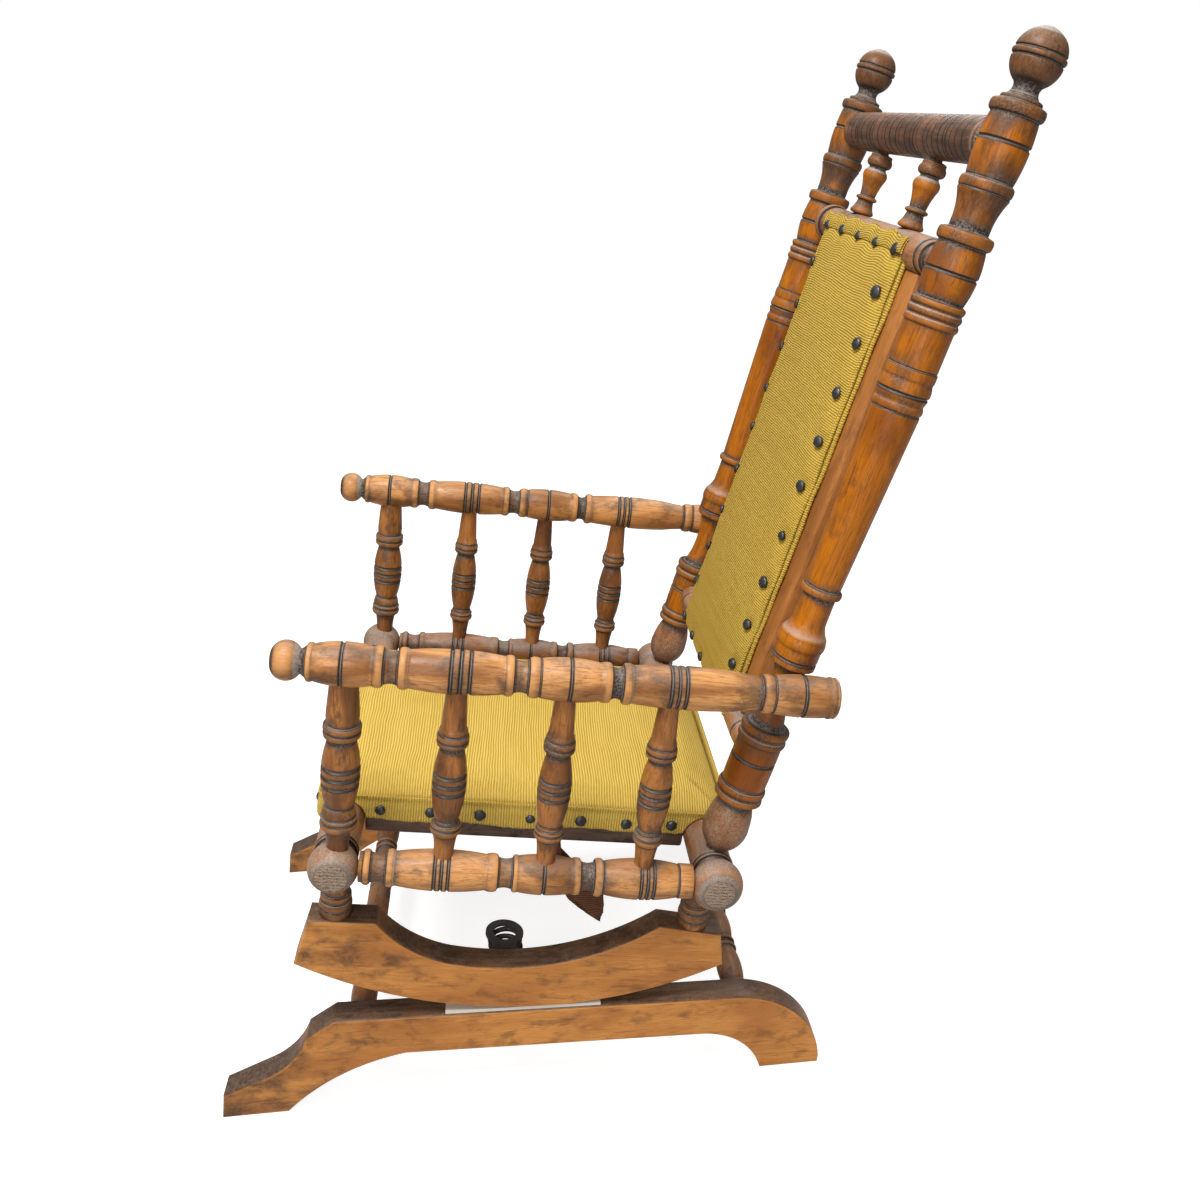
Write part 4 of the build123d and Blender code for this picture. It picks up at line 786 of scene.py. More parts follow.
def arcPoints(a, b, c, count=26):
    # points on the circle through a, b and c, from just after a to c
    (ax, ay), (bx, by), (cx, cy) = a, b, c
    d = 2 * (ax * (by - cy) + bx * (cy - ay) + cx * (ay - by))
    a2, b2, c2 = ax * ax + ay * ay, bx * bx + by * by, cx * cx + cy * cy
    ux = (a2 * (by - cy) + b2 * (cy - ay) + c2 * (ay - by)) / d
    uy = (a2 * (cx - bx) + b2 * (ax - cx) + c2 * (bx - ax)) / d
    start, middle, end = (math.atan2(y - uy, x - ux) for x, y in (a, b, c))
    sweep = (end - start) % (2 * math.pi)
    if (middle - start) % (2 * math.pi) > sweep:
        sweep -= 2 * math.pi
    angle = start + sweep * np.linspace(0, 1, count + 1)[1:]
    radius = math.hypot(ax - ux, ay - uy)
    return np.stack([ux + radius * np.cos(angle), uy + radius * np.sin(angle)], 1)


def outlineOf(start, segments, spacing=7.0):
    # closed outline from a start point: a bare point ends a straight edge, (middle, end) an arc
    points, at = [np.array([start], float)], np.array(start, float)
    for segment in segments:
        if isinstance(segment[0], tuple):
            points.append(arcPoints(at, *segment))
        else:
            t = np.linspace(0, 1, max(1, int(np.hypot(*(segment - at)) / spacing)) + 1)[1:, None]
            points.append(at + (segment - at) * t)
        at = points[-1][-1]
    outline = np.concatenate(points)
    return outline[:-1] if np.hypot(*(outline[0] - outline[-1])) < 1e-6 else outline


def boardSurface(outline, innerX, thickness, side, soft=2.2):
    # outline swept across the board's thickness, drawn in near both faces along a quarter circle:
    # point(u, v) = outline(u) - inset(v) * outward normal(u), x(v), each face closed by one polygon
    following = np.roll(outline, -1, 0)
    if np.sum(outline[:, 0] * following[:, 1] - following[:, 0] * outline[:, 1]) < 0:
        outline = outline[::-1]
    ahead, behind = np.roll(outline, -1, 0) - outline, outline - np.roll(outline, 1, 0)
    along = unit(unit(ahead) + unit(behind))
    normal = np.stack([along[:, 1], -along[:, 0]], 1)
    quarter = np.linspace(np.pi / 2, 0, 5)
    rim, drawnIn = soft * (1 - np.sin(quarter)), soft * (1 - np.cos(quarter))
    x = np.concatenate([[0], rim, [thickness * 0.33, thickness * 0.67], thickness - rim[::-1], [thickness]])
    inset = np.concatenate([[soft + 1.6], drawnIn, [0, 0], drawnIn[::-1], [soft + 1.6]])
    proud = np.array([0, 0.6, 1, 1, 1, 1, 0, 0, 1, 1, 1, 1, 0.6, 0])
    rows, columns = len(x), len(outline)
    yz = outline[None] - inset[:, None, None] * normal[None]
    across = np.broadcast_to(((innerX + x) * side)[:, None, None], (rows, columns, 1))
    points = np.concatenate([across, yz], 2).reshape(-1, 3)
    faces = [face[:, ::side] for face in tubeFaces(rows, columns)]
    extra = {"hollow": np.repeat(proud, columns) * 0.0011, "endGrain": np.zeros(rows * columns),
             "crowded": 0.30 * np.clip((-170 - points[:, 1]) / 120, 0, 1) + 0.06,
             "aged": np.interp(points[:, 1], [-360, -260, -180], [0.6, 0.42, 0])}
    return {"points": points, "faces": faces, "grain": points[:, [0, 2, 1]] * [0.6, 1, 1], "extra": extra}


boards = {"innerX": 200.0, "thickness": 31.0, "railTop": 109.7, "railDepth": 49.0, "fall": 2.1,
          "rockerRadius": 460.0, "rockerFront": -274.0, "rockerRear": 170.0, "smoothAngle": 38}
leanSin, leanCos = math.sin(math.radians(attitude["lean"])), math.cos(math.radians(attitude["lean"]))


def onRail(y, below=0.0):
    return (y, boards["railTop"] - math.tan(math.radians(boards["fall"])) * y - below)


def onRocker(y):
    radius = boards["rockerRadius"]
    return (y, radius * leanCos - math.sqrt(radius ** 2 - (y + radius * leanSin) ** 2))


depth = boards["railDepth"]
baseOutline = outlineOf((-365, 0), [
    (-360, 30), (-311, 51), ((-283, 70), (-264, 99)), onRail(-234), onRail(186), ((259, 74), (288, 8)),
    (287, 0), (221, 0), ((204, 33), onRail(156, depth)), onRail(-164, depth), ((-240, 41), (-295, 0))])
rockerFront, rockerRear = onRocker(boards["rockerFront"]), onRocker(boards["rockerRear"])
rockerOutline = outlineOf(rockerFront, [
    (-261, 98.5), (-195, 98.5), ((-162, 68.5), (-118, 51)), ((-12, 55), (95, 108)), (162, 100.5), rockerRear,
    (onRocker(-boards["rockerRadius"] * leanSin), rockerFront)])
for side, word in sides:
    surface = boardSurface(baseOutline, boards["innerX"], boards["thickness"], side)
    finishPiece("platform_rail_" + word, surface, platformPlace, "boardFace", "base_rail_" + word,
                "platform", boards["smoothAngle"])
    surface = boardSurface(rockerOutline, boards["innerX"], boards["thickness"], side)
    finishPiece("rocker_" + word, surface, chairPlace, "boardFace", "rocker_board_" + word,
                smoothAngle=boards["smoothAngle"])
print("boards made")


def barSurface(width, height, length, power, around=48, rows=12):
    # superellipse section |2x/width|^power + |2z/height|^power = 1 carried along y, drawn in at both ends
    angle = np.linspace(0, 2 * np.pi, around, endpoint=False)
    c, s = np.cos(angle), np.sin(angle)
    halfX, halfZ = np.sign(c) * np.abs(c) ** (2 / power), np.sign(s) * np.abs(s) ** (2 / power)
    ends, scales = np.array([0, 0, 0.4, 1.2]), np.array([0.02, 0.86, 0.94, 0.985])
    t = np.concatenate([ends, np.linspace(3, length - 3, rows), length - ends[::-1]])
    scale = np.concatenate([scales, np.ones(rows), scales[::-1]])
    points = np.stack([scale[:, None] * halfX * width / 2, np.broadcast_to(t[:, None], (len(t), around)),
                       scale[:, None] * halfZ * height / 2], -1).reshape(-1, 3)
    faces = [face[:, ::-1] for face in tubeFaces(len(t), around)]
    extra = {"hollow": np.tile(np.abs(halfX * halfZ), len(t)) * 0.0009,
             "endGrain": np.repeat((scale < 0.9).astype(float), around)}
    return {"points": points, "faces": faces, "grain": points[:, [0, 2, 1]], "extra": extra}


seatFrame = {"outerX": 168.0, "thickness": 21.0, "bottom": 164.0, "top": 200.0, "frontY": -214.5,
             "length": 333.0, "power": 7.0}
stiles = {"x": 136.0, "depth": 1.5, "start": 123.5, "width": 52.0, "thickness": 20.0, "length": 459.0,
          "power": 6.0}
for side, word in sides:
    surface = barSurface(seatFrame["thickness"], seatFrame["top"] - seatFrame["bottom"], seatFrame["length"],
                         seatFrame["power"])
    place = moveBy(side * (seatFrame["outerX"] - seatFrame["thickness"] / 2), seatFrame["frontY"],
                   (seatFrame["top"] + seatFrame["bottom"]) / 2)
    finishPiece("seat_side_bar_" + word, surface, chairPlace @ place, "frameBar", "seat_side_board_" + word)
    surface = barSurface(stiles["width"], stiles["thickness"], stiles["length"], stiles["power"])
    place = (moveBy(side * stiles["x"], 0, 0) @ backPlace @ moveBy(0, stiles["depth"], stiles["start"])
             @ turnAboutX(90))
    finishPiece("stile_" + word, surface, place, "plainStile", "back_stile_" + word)

# CAD nodes that are shown as they are
carried = {name: metals["oldIron"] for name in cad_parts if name.startswith(("spring_", "coil_"))}
carried.update({
    "seat_front_board": woods["frameBar"], "seat_rear_board": woods["frameBar"],
    "arm_dowels": woods["brownTurned"], "seat_webbing": cloths["juteWeb"],
    "back_lining": cloths["juteWeb"], "loose_webbing": cloths["juteWeb"],
    "wear_strip_left": cloths["paleFelt"], "wear_strip_right": cloths["paleFelt"]})
for name, material in carried.items():
    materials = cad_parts[name].data.materials
    materials.clear()
    materials.append(material)


# upholstery

seatShape = {
    "halfWidth": 168.0, "frontY": -259.5, "rearY": 163.0, "foot": 202.6, "head": 219.0, "corner": 8.0,
    "heldBelow": 205.0, "sideReach": 173.4, "frontReach": -266.0, "rearReach": 169.6, "rise": 6.0,
    "spread": 4.0, "edgeDrop": 7.0, "fill": 0.7, "tackHeight": 192.5,
    "sideTacks": (-200, -149, -98.5, -46, 6.5, 55, 103.5)}
skirtShape = {"halfX": 171.4, "front": -263.6, "rear": 167.4, "corner": 7.0, "low": 182.0, "high": 209.0,
              "crease": 204.5, "thick": 2.4, "railY": (-236.0, 140.0), "railRadius": 22.4, "step": 2.4}
backShape = {
    "halfWidth": 132.0, "foot": 99.0, "head": 604.0, "rear": 8.9, "front": 21.5, "corner": 6.0,
    "heldBelow": 12.0, "rise": 9.0, "tackX": 117.0, "wide": 118.0,
    "tackHeights": (107, 156.5, 203, 252, 305, 359, 406.5, 456, 506, 555), "fill": 0.6}
clothRule = {"pressure": 4.0, "frames": 20, "quality": 5}


def roundedBox(low, high, corner, spacing):
    # cube grid pulled onto a rounded box: each point is clamped to the inner box, then pushed out by corner
    low, high = np.array(low, float), np.array(high, float)
    points, faces, count = [], [], 0
    for axis in range(3):
        u, v = [k for k in range(3) if k != axis]
        nu, nv = (int((high[k] - low[k]) / spacing) + 2 for k in (u, v))
        gridU, gridV = np.meshgrid(np.linspace(low[u], high[u], nu), np.linspace(low[v], high[v], nv),
                                   indexing="ij")
        for end, level in ((0, low[axis]), (1, high[axis])):
            block = np.zeros((nu * nv, 3))
            block[:, u], block[:, v], block[:, axis] = gridU.ravel(), gridV.ravel(), level
            quads = gridFaces(nu, nv, closed=False)
            if (end == 1) == (axis == 1):
                quads = quads[:, ::-1]
            points.append(block)
            faces.append(quads + count)
            count += len(block)
    points = np.concatenate(points)
    inner = np.clip(points, low + corner, high - corner)
    away = points - inner
    away /= np.maximum(np.linalg.norm(away, axis=1, keepdims=True), 1e-9)
    return inner + away * corner, np.concatenate(faces)


def meshArrays(mesh):
    points = np.zeros(len(mesh.vertices) * 3, np.float32)
    mesh.vertices.foreach_get("co", points)
    return points.reshape(-1, 3).astype(float)


def evenMesh(points, faces, voxel):
    # closed mesh with even squares, from a voxel remesh
    rough = makeObject("rough", points * mm, [faces])
    rough.modifiers.new("weld", "WELD").merge_threshold = 0.0002
    remesh = rough.modifiers.new("remesh", "REMESH")
    remesh.mode = "VOXEL"
    remesh.voxel_size = voxel * mm
    mesh = bpy.data.meshes.new_from_object(rough.evaluated_get(bpy.context.evaluated_depsgraph_get()))
    bpy.data.objects.remove(rough)
    return mesh


def blownUp(mesh, held):
    # how far each vertex moves when the closed cloth is blown up, the held ones staying
    obj = linkedObject("blown", mesh)
    obj.vertex_groups.new(name="held").add(np.where(held)[0].tolist(), 1.0, "REPLACE")
    cloth = obj.modifiers.new("cloth", "CLOTH")
    cloth.settings.quality = clothRule["quality"]
    cloth.settings.use_pressure = True
    cloth.settings.uniform_pressure_force = clothRule["pressure"]
    cloth.settings.vertex_group_mass = "held"
    cloth.settings.effector_weights.gravity = 0.0
    cloth.point_cache.frame_start, cloth.point_cache.frame_end = 1, clothRule["frames"]
    before = meshArrays(mesh)
    for step in range(1, clothRule["frames"] + 1):
        bpy.context.scene.frame_set(step)
    after = meshArrays(obj.evaluated_get(bpy.context.evaluated_depsgraph_get()).data)
    bpy.context.scene.frame_set(1)
    bpy.data.objects.remove(obj)
    return (after - before) / mm


def softPiece(name, mesh, matrix, attributes, look, node):
    # the blown-up points go back onto the remeshed cloth, which is then subdivided once
    points = attributes["restPlace"] / mm
    mesh.vertices.foreach_set("co", placed(points, matrix).astype(np.float32).ravel())
    mesh.update()
    mesh.name = name
    mesh.materials.clear()
    writeAttributes(mesh, attributes)
    obj = linkedObject(name, mesh)
    smooth = obj.modifiers.new("smooth", "SUBSURF")
    smooth.levels = smooth.render_levels = 1
    settle(obj, cloths[look], node)


def ribbed(points, across, along):
    # what the cloth shader reads: the way across and along the ribs, and the place on the cloth at rest
    return {"ribAcross": across * mm, "ribAlong": along * mm, "restPlace": points * mm}


def seatRibs(p):
    # ribs run from side to side on top and down both sides, and are counted down the front and the rear
    x, y, z = p.T
    front = np.clip((seatShape["frontY"] + 14 - y) / 14, 0, 1)
    rear = np.clip((y - seatShape["rearY"] + 14) / 14, 0, 1)
    drop = 220 - z
    across = y - drop * front + drop * rear + 2.0 * np.sin(x / 90) + 1.2 * np.sin(x / 41 + y / 60)
    side = np.clip((np.abs(x) - seatShape["halfWidth"] + 14) / 14, 0, 1)
    return ribbed(p, across, x + np.sign(x) * drop * side)


def backRibs(p):
    # ribs run from side to side, and near the top they are drawn a little towards each tack
    x, s = p[:, 0], p[:, 2]
    pull = 2.4 * np.cos(2 * np.pi * x / 59.0) * np.exp(-np.clip(598 - s, 0, None) / 18.0)
    bow = 9.0 * (x / 130) ** 2 * np.cos((s - 350) / 250 * np.pi / 2) * 0.4
    return ribbed(p, s + pull + bow + 1.5 * np.sin(x / 60 + s / 90), x)


def seatCushion():
    # rounded box, lower towards its sides, blown up as cloth and held at its foot
    shape = seatShape
    points, faces = roundedBox((-shape["halfWidth"], shape["frontY"], shape["foot"]),
                               (shape["halfWidth"], shape["rearY"], shape["head"]), shape["corner"], 8)
    mesh = evenMesh(points, faces, 4.6)
    p = meshArrays(mesh) / mm
    middleY, halfY = (shape["rearY"] + shape["frontY"]) / 2, (shape["rearY"] - shape["frontY"]) / 2
    offX, offY = np.abs(p[:, 0]) / shape["halfWidth"], np.abs(p[:, 1] - middleY) / halfY
    upper = np.clip((p[:, 2] - shape["foot"]) / (shape["head"] - shape["foot"]), 0, 1)
    p[:, 2] -= shape["edgeDrop"] * upper * np.clip(offX ** 4 + 0.7 * offY ** 8, 0, 1)
    move = blownUp(mesh, p[:, 2] < shape["heldBelow"])
    flat = np.linalg.norm(move[:, :2], axis=1, keepdims=True)
    move[:, :2] *= np.minimum(1, shape["spread"] / np.maximum(flat, 1e-6))
    move[:, 2] = np.clip(move[:, 2], -2, shape["rise"])
    p = p + move
    # sat-in hollow towards the rear, and low waves that run from side to side near the front
    p[:, 2] -= 3.0 * bell(np.hypot(p[:, 0] / 1.2, p[:, 1] + 10), 105) * upper
    p[:, 2] += 0.8 * np.sin((p[:, 1] + 0.06 * p[:, 0]) / 9.5) * bell(p[:, 1] + 215, 60) * (upper > 0.6)
    p[:, 0] = np.clip(p[:, 0], -shape["sideReach"], shape["sideReach"])
    p[:, 1] = np.clip(p[:, 1], shape["frontReach"], shape["rearReach"])
    softPiece("seat_cushion", mesh, chairPlace, seatRibs(p), "mustardCord", "seat_pad")


def skirtPath(shape):
    # rounded rectangle run round in even steps, with the outward direction at each point
    corner = shape["corner"]
    x, front, rear = shape["halfX"] - corner, shape["front"] + corner, shape["rear"] - corner
    run, normal = [], []
    centres = [(x, rear), (-x, rear), (-x, front), (x, front)]
    for index, centre in enumerate(centres):
        # the straight side before this corner, then the corner's quarter circle
        way = np.array([(1, 0), (0, 1), (-1, 0), (0, -1)][index])
        a, b = np.array(centres[index - 1]) + corner * way, np.array(centre) + corner * way
        t = np.linspace(0, 1, int(np.hypot(*(b - a)) / shape["step"]) + 1)[:, None]
        turn = math.radians(90 * index) + np.linspace(0, np.pi / 2, 7)[1:-1]
        around = np.stack([np.cos(turn), np.sin(turn)], 1)
        run += [a + (b - a) * t, np.array(centre) + corner * around]
        normal += [np.broadcast_to(way, (len(t), 2)), around]
    return np.concatenate(run), np.concatenate(normal)


def seatSkirt():
    # band of the cover over the frame: a rounded rectangle run round, drawn in at the crease and the tacks,
    # its lower edge a sum of sines, lifted over each cross rail along the rail's own circle
    shape = skirtShape
    run, normal = skirtPath(shape)
    length = np.concatenate([[0], np.cumsum(np.hypot(*np.diff(run, axis=0).T))])
    noise = np.random.default_rng(5).normal(size=len(run))
    frayed = np.convolve(np.tile(noise, 3), np.ones(3) / 3, mode="same")[len(run):2 * len(run)]
    low = shape["low"] + 1.3 * np.sin(length / 19) + 0.9 * np.sin(length / 47 + 1) + 0.9 * frayed
    onSide = np.abs(run[:, 0]) > shape["halfX"] - 3
    for railY in shape["railY"]:
        chord = np.clip(shape["railRadius"] ** 2 - (run[:, 1] - railY) ** 2, 0, None)
        low = np.maximum(low, np.where(onSide & (chord > 0), attitude["railHeight"] + np.sqrt(chord), 0))
    # v runs down the outside and up the inside
    v = np.array([1, 0.86, 0.72, 0.58, 0.44, 0.3, 0.18, 0.08, 0.0, 0.0, 0.08, 0.3, 0.6, 1])
    thick = np.array([0, 0, 0, 0, 0, 0, 0, 0, 0.2, 0.83, 1, 1, 1, 1])[:, None] * shape["thick"]
    z = low[None, :] + (shape["high"] - low)[None, :] * v[:, None]
    waves = 0.5 * np.sin(length / 23)[None, :] * (1 - v[:, None])
    out = -2.4 * bell(z - shape["crease"], 3.6) + waves - thick
    for y in seatShape["sideTacks"]:
        near = np.hypot(run[None, :, 1] - y, z - seatShape["tackHeight"])
        out -= 1.2 * bell(near, 7) * onSide[None] * (thick < 1)
    xy = run[None] + out[:, :, None] * normal[None]
    points = np.concatenate([xy, z[:, :, None]], 2).reshape(-1, 3)
    rows, columns = len(v), len(run)
    # the last row joins the first, which closes the band's section
    c = np.arange(columns)
    nextC, last = (c + 1) % columns, (rows - 1) * columns
    seam = np.stack([c, nextC, nextC + last, c + last], 1)
    faces = np.concatenate([gridFaces(rows, columns)[:, ::-1], seam])
    obj = makeObject("seat_skirt", placed(points, chairPlace), [faces], seatRibs(points))
    settle(obj, cloths["mustardCord"])


def backCushion():
    # flat rounded slab blown up as cloth, held along its border, then drawn in at every tack
    shape = backShape
    points, faces = roundedBox((-shape["halfWidth"], -shape["front"], shape["foot"]),
                               (shape["halfWidth"], -shape["rear"], shape["head"]), shape["corner"], 7)
    mesh = evenMesh(points, faces, 5.0)
    p = meshArrays(mesh) / mm
    x, d, s = p[:, 0], -p[:, 1], p[:, 2]
    wide, heights = shape["wide"], shape["tackHeights"]
    tackX = np.concatenate([np.repeat([-shape["tackX"], shape["tackX"]], len(heights)),
                            np.linspace(-wide, wide, 5), [-60, 0, 60]])
    tackS = np.concatenate([np.tile(heights, 2), np.full(5, 596.5), np.full(3, 107)])
    near = np.min(np.hypot(x[:, None] - tackX[None], s[:, None] - tackS[None]), axis=1)
    move = blownUp(mesh, (d < shape["heldBelow"]) | (np.abs(x) > 124) | (s < 104) | (s > 594))
    move[:, 1] = np.clip(move[:, 1], -shape["rise"], 2)
    move[:, [0, 2]] = np.clip(move[:, [0, 2]], -2.5, 2.5)
    p = p + move
    front = np.clip((d - 12) / 6, 0, 1)
    border = np.clip((np.abs(x) - 112) / 20, 0, 1) ** 1.4
    p[:, 1] += front * (6.5 * border + 3.2 * bell(near, 9) + 4.5 * np.clip((s - 585) / 18, 0, 1) ** 1.5)
    softPiece("back_cushion", mesh, backPlace, backRibs(p), "mustardCordBack", "back_pad")


def tubeAlong(path, radius, around=10):
    # circle of the given radius carried along a path, turned with the path's own direction at each point
    tangent = unit(np.gradient(path, axis=0))
    helper = np.where(np.abs(tangent[:, :1]) < 0.9, [[1.0, 0, 0]], [[0, 1.0, 0]])
    a = unit(np.cross(tangent, helper))
    b = np.cross(tangent, a)
    angle = np.linspace(0, 2 * np.pi, around, endpoint=False)[None, :, None]
    radius = np.broadcast_to(np.asarray(radius, float), (len(path),))[:, None, None]
    points = path[:, None] + radius * (np.cos(angle) * a[:, None] + np.sin(angle) * b[:, None])
    return points.reshape(-1, 3), tubeFaces(len(path), around)


def joined(parts):
    # several (points, faces) shapes as one
    points, faces, count = [], [], 0
    for partPoints, partFaces in parts:
        points.append(partPoints)
        faces += [face + count for face in partFaces]
        count += len(partPoints)
    return np.concatenate(points), faces


def backWelts():
    # two rows of stitched cord down each side of the back, a little uneven
    s = np.linspace(103, 602, 260)
    parts = []
    for side in (1, -1):
        for x, d, radius, phase in ((133.6, 11.2, 2.3, 0.0), (130.2, 15.2, 2.1, 2.0)):
            sway = 0.7 * np.sin(s / 21 + phase + side) + 0.5 * np.sin(s / 8.3 + phase)
            path = np.stack([side * (x + sway), -(d + 0.4 * np.sin(s / 13 + phase)), s], 1)
            parts.append(tubeAlong(path, radius * (1 + 0.12 * np.sin(s * 2 * np.pi / 6.4 + phase))))
    points, faces = joined(parts)
    ribs = ribbed(points, points[:, 2], points[:, 0])
    obj = makeObject("back_welts", placed(points, backPlace), faces, ribs)
    settle(obj, cloths["mustardCordBack"])


def backTopFlap():
    # cover's raw upper edge, wrapped over the rail: angle round the rail from the front face to a scalloped
    # edge, which is higher between the tacks and frayed by smoothed noise
    columns, rows = 150, 12
    x = np.linspace(-135, 135, columns)
    noise = np.convolve(np.random.default_rng(11).normal(size=columns), np.ones(3) / 3, mode="same")
    edge = 33 - 5 * np.cos(2 * np.pi * x / 59.0) + 4 * noise
    t = np.linspace(0, 1, rows)[:, None]
    angle = np.radians(-14 + (edge[None] + 14) * t)
    lift = 0.7 + 1.2 * bell(t - 1, 0.25) * np.abs(np.sin(x / 11))[None]
    skins = []
    for gap in (2.2, 0.2):
        radius = backRails["top"]["half"][0][1] + lift + gap
        skins.append(np.stack([np.broadcast_to(x, angle.shape), -radius * np.cos(angle),
                               backRails["top"]["s"] + radius * np.sin(angle)], -1))
    points, faces = doubleSkin(*skins)
    obj = makeObject("back_top_flap", placed(points, backPlace), faces, backRibs(points))
    settle(obj, cloths["mustardCordBack"])


seatCushion()
print("seat cushion made")
seatSkirt()
backCushion()
print("back cushion made")
backWelts()
backTopFlap()


# tacks, springs and webbing

tackShape = {"radius": 5.9, "height": 3.2, "around": 16}


def tackPiece(name, tacks, matrix, node):
    # domes r cos(t), h sin(t) turned about their own axes, their rims drawn in below, each hammered a little
    # out of round; tacks are (place, direction) pairs
    t = np.radians([-50, -22, 0, 18, 36, 54, 72, 88])
    around = tackShape["around"]
    a = np.linspace(0, 2 * np.pi, around, endpoint=False)
    r, h = tackShape["radius"] * np.cos(t), tackShape["height"] * np.clip(np.sin(t), -0.35, 1)
    dome = np.stack([r[:, None] * np.cos(a), r[:, None] * np.sin(a), np.repeat(h[:, None], around, 1)], -1)
    dome = dome.reshape(-1, 3)
    rng = np.random.default_rng(3)
    parts = []
    for place, way in tacks:
        way = unit(np.array(way, float) + rng.normal(size=3) * 0.06)
        side = unit(np.cross(way, [0.3, 0.2, 1.0]))
        other = np.cross(way, side)
        dents = 1 + 0.06 * rng.normal(size=len(dome))
        local = dome * dents[:, None] * (1 + 0.05 * rng.normal())
        parts.append((np.array(place) + local @ np.array([side, other, way]), tubeFaces(len(t), around)))
    points, faces = joined(parts)
    settle(makeObject(name, placed(points, matrix), faces), metals["gunmetalTack"], node)


height = seatShape["tackHeight"]
seatTacks = [((side * (skirtShape["halfX"] - 0.4), y, height + 0.8 * math.sin(y)), (side, 0, 0.05))
             for y in seatShape["sideTacks"] for side in (1, -1)]
seatTacks += [((x, skirtShape["front"] + 0.4, height), (0, -1, 0.05)) for x in np.linspace(-150, 150, 8)]
seatTacks += [((side * 168.0, -240.0, 211.0), (side * 0.8, -0.3, 0.6)) for side in (1, -1)]
tackPiece("seat_tack_heads", seatTacks, chairPlace, "seat_tacks")
backTacks = [((side * (backShape["tackX"] + 1.2 * math.sin(3 * index)), -21.6, s), (side * 0.35, -1, 0))
             for index, s in enumerate(backShape["tackHeights"][1:]) for side in (1, -1)]
backTacks += [((x, -19.6, s), (0.0, -1, tilt)) for s, tilt in ((597.0, 0.45), (106.0, -0.3))
              for x in np.linspace(-backShape["wide"], backShape["wide"], 5)]
tackPiece("back_tack_heads", backTacks, backPlace, "back_tacks")

springShape = {"x": 173.0, "y": -60.0, "rise": 46.0, "drop": 38.0, "coil": 16.0, "wire": 2.8, "turns": 9.5,
               "plate": 1.5, "plateReach": 20.5}


def coilSprings():
    # wire carried along x = x0 + R cos(a), y = y0 + R sin(a), z rising evenly, its end turns closed up
    shape, contactHeight = springShape, attitude["contactHeight"]
    footY = shape["y"] * leanCos + shape["rise"] * leanSin
    low = contactHeight - shape["drop"] + shape["plate"] + shape["wire"]
    top = contactHeight - shape["y"] * leanSin + shape["rise"] * leanCos
    high = top - shape["plate"] - shape["plateReach"] * leanSin - shape["wire"]
    t = np.linspace(0, 1, 260)
    angle = 2 * np.pi * shape["turns"] * t
    z = low + (high - low) * (0.92 * np.clip((t - 0.12) / 0.76, 0, 1) + 0.08 * t)
    for side, word in sides:
        x = side * shape["x"]
        path = np.stack([x + shape["coil"] * np.cos(angle), footY + shape["coil"] * np.sin(angle), z], 1)
        points, faces = tubeAlong(path, shape["wire"], 12)
        obj = makeObject("coil_spring_wire_" + word, placed(points, platformPlace), faces)
        settle(obj, metals["oldIron"], "coil_spring_" + word, body=None)
        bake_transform(obj)


webShape = {"x": 157.0, "top": 163.6, "drop": 105.0, "thick": 2.2,
            "middle": ([0, 0.35, 0.6, 0.8, 1], [-19, -14, 15, 30, 45.5]),
            "half": ([0, 0.35, 0.6, 0.75, 0.9, 1], [8, 9, 20, 19, 9, 1.5])}


def looseWeb():
    # torn end of webbing: folded narrow where it hangs from the board, then opened out to a ragged point
    # y = middle(v) + u * half(v), x bent by a sine, two skins a little apart
    rows, columns = 40, 14
    v, u = np.meshgrid(np.linspace(0, 1, rows), np.linspace(-1, 1, columns), indexing="ij")
    noise = np.random.default_rng(8).normal(size=(rows, columns))
    y = np.interp(v, *webShape["middle"]) + u * np.interp(v, *webShape["half"]) + 0.5 * noise * (v > 0.3)
    z = webShape["top"] - webShape["drop"] * v + 7 * u * np.clip(v - 0.4, 0, 0.4)
    x = webShape["x"] + 2.2 * np.sin(v * 5) * (1 - np.abs(u)) - 3.0 * v * u
    gap = webShape["thick"] / 2
    points, faces = doubleSkin(np.stack([x + gap, y, z], -1), np.stack([x - gap, y, z], -1))
    ribs = ribbed(points, points[:, 2], points[:, 1])
    obj = makeObject("loose_web", placed(points, chairPlace), faces, ribs)
    settle(obj, cloths["darkWeb"], "loose_webbing")


coilSprings()
looseWeb()
print("tacks, springs and webbing made")


# stage, light and camera

floorShape = {"half": 30.0, "below": 0.0005, "tone": 0.50, "glowNear": (0.9, 0.79), "glowFar": (5.0, 0.92)}


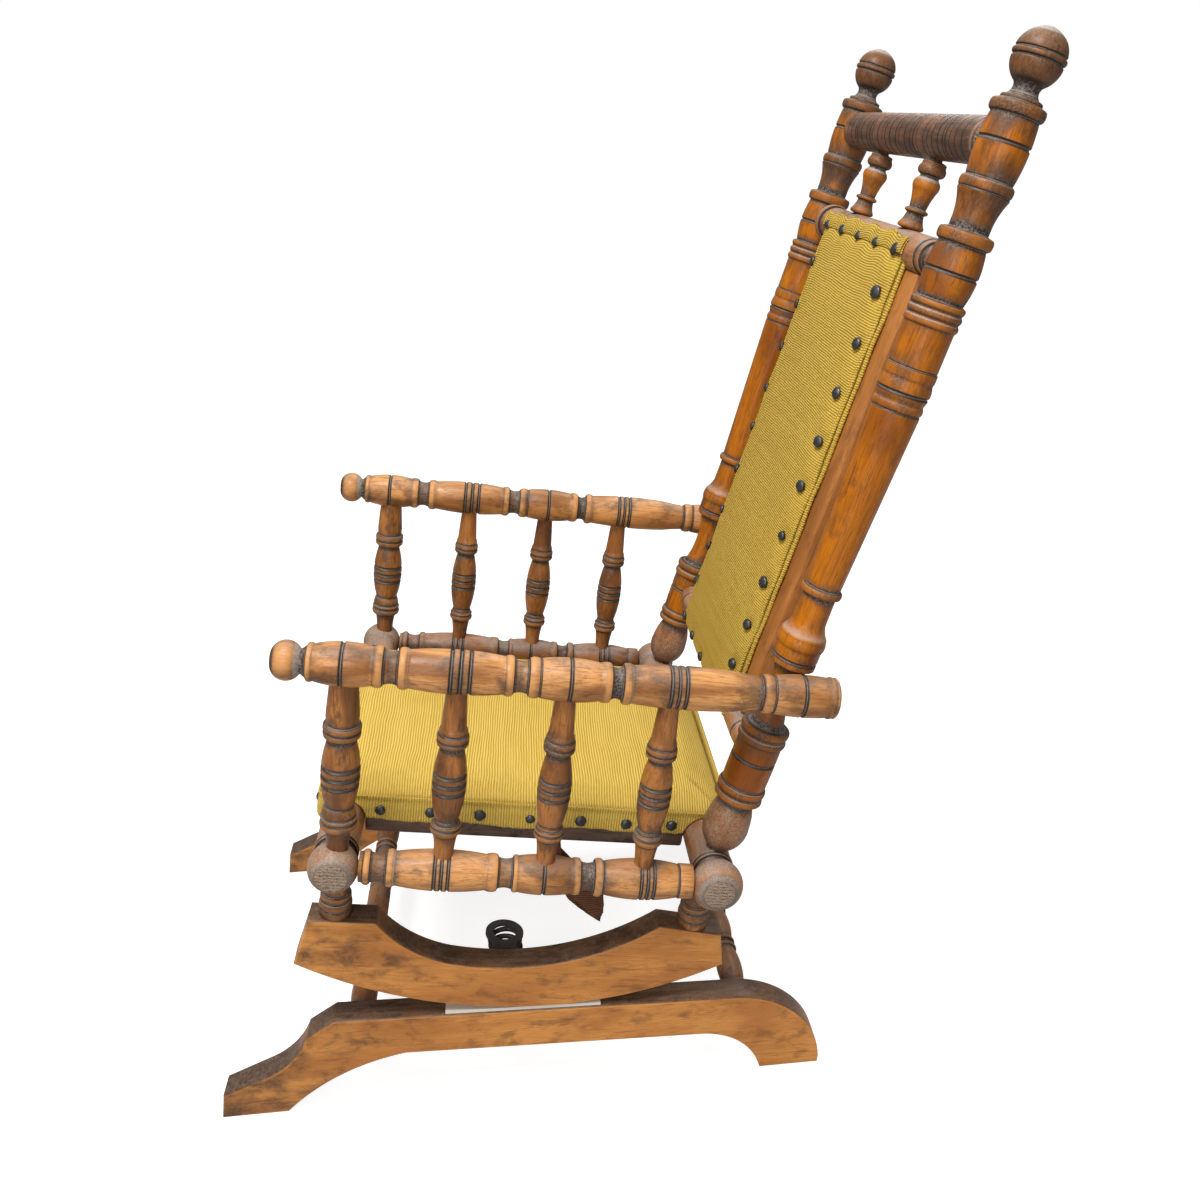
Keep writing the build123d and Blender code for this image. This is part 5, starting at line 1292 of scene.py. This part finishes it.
def paleFloor():
    half, below = floorShape["half"], floorShape["below"]
    mesh = bpy.data.meshes.new("floor")
    mesh.from_pydata([(x * half, y * half, -below) for x, y in ((-1, -1), (1, -1), (1, 1), (-1, 1))], [],
                     [(0, 1, 2, 3)])
    material, n, shader = newMaterial("paleFloor")
    n.put((floorShape["tone"],) * 3, shader["Base Color"])
    shader["Roughness"].default_value = 0.9
    shader["Specular IOR Level"].default_value = 0.0
    # brighter far away, so that it meets the white behind it
    away = n.add("ShaderNodeVectorMath", operation="LENGTH")
    n.join(n.add("ShaderNodeTexCoord").outputs["Object"], away.inputs[0])
    (near, dim), (far, bright) = floorShape["glowNear"], floorShape["glowFar"]
    glow = n.add("ShaderNodeEmission")
    ray = n.add("ShaderNodeLightPath").outputs["Is Camera Ray"]
    n.join(n.times(ray, n.ramp(away.outputs["Value"], near, far, dim, bright)), glow.inputs["Strength"])
    both = n.add("ShaderNodeAddShader")
    n.join(n.tree.nodes["Principled BSDF"].outputs[0], both.inputs[0])
    n.join(glow.outputs[0], both.inputs[1])
    n.join(both.outputs[0], n.tree.nodes["Material Output"].inputs["Surface"])
    mesh.materials.append(material)
    linkedObject("floor", mesh)


def areaLight(name, place, target, size, power):
    light = bpy.data.lights.new(name, "AREA")
    light.shape = "DISK"
    light.size = size
    light.energy = power
    lamp = linkedObject(name, light)
    lamp.location = place
    lamp.rotation_euler = (Vector(target) - Vector(place)).to_track_quat("-Z", "Y").to_euler()


def paleWorld(strength):
    world = bpy.data.worlds.new("studio")
    bpy.context.scene.world = world
    world.use_nodes = True
    n = Nodes(world.node_tree)
    sky = world.node_tree.nodes["Background"].inputs
    n.put((1, 1, 1), sky["Color"])
    ray = n.add("ShaderNodeLightPath").outputs["Is Camera Ray"]
    n.join(n.ramp(ray, 0.0, 1.0, strength, 1.0, False), sky["Strength"])


paleFloor()
paleWorld(0.32)
areaLight("keyLight", (0.9, -0.5, 2.9), (0, 0, 0.45), 1.3, 95)
areaLight("fillLight", (2.6, -0.7, 1.5), (0, 0, 0.4), 1.8, 40)
areaLight("backLight", (-1.6, 0.9, 2.4), (0, 0, 0.6), 1.4, 26)

cameraShape = {"place": (1.1837, -0.0465, 0.9938), "azimuth": 84.554, "elevation": 23.549, "roll": -1.172,
               "lens": 34.473, "shiftX": -0.0230, "shiftY": 0.0017}
azimuth, elevation, roll = (math.radians(cameraShape[key]) for key in ("azimuth", "elevation", "roll"))
forward = np.array([-math.sin(azimuth) * math.cos(elevation), math.cos(azimuth) * math.cos(elevation),
                    -math.sin(elevation)])
right = unit(np.cross(forward, [0, 0, 1.0]))
upward = np.cross(right, forward)
matrix = np.eye(4)
matrix[:3, 0] = math.cos(roll) * right + math.sin(roll) * upward
matrix[:3, 1] = math.cos(roll) * upward - math.sin(roll) * right
matrix[:3, 2] = -forward
matrix[:3, 3] = cameraShape["place"]
cameraData = bpy.data.cameras.new("camera")
cameraData.lens = cameraShape["lens"]
cameraData.sensor_width = 36.0
cameraData.shift_x = cameraShape["shiftX"]
cameraData.shift_y = cameraShape["shiftY"]
cameraData.clip_start = 0.02
camera = linkedObject("camera", cameraData)
camera.matrix_world = Matrix(matrix.tolist())
bpy.context.scene.camera = camera
bpy.context.scene.view_settings.view_transform = "Standard"

print("scene finished")
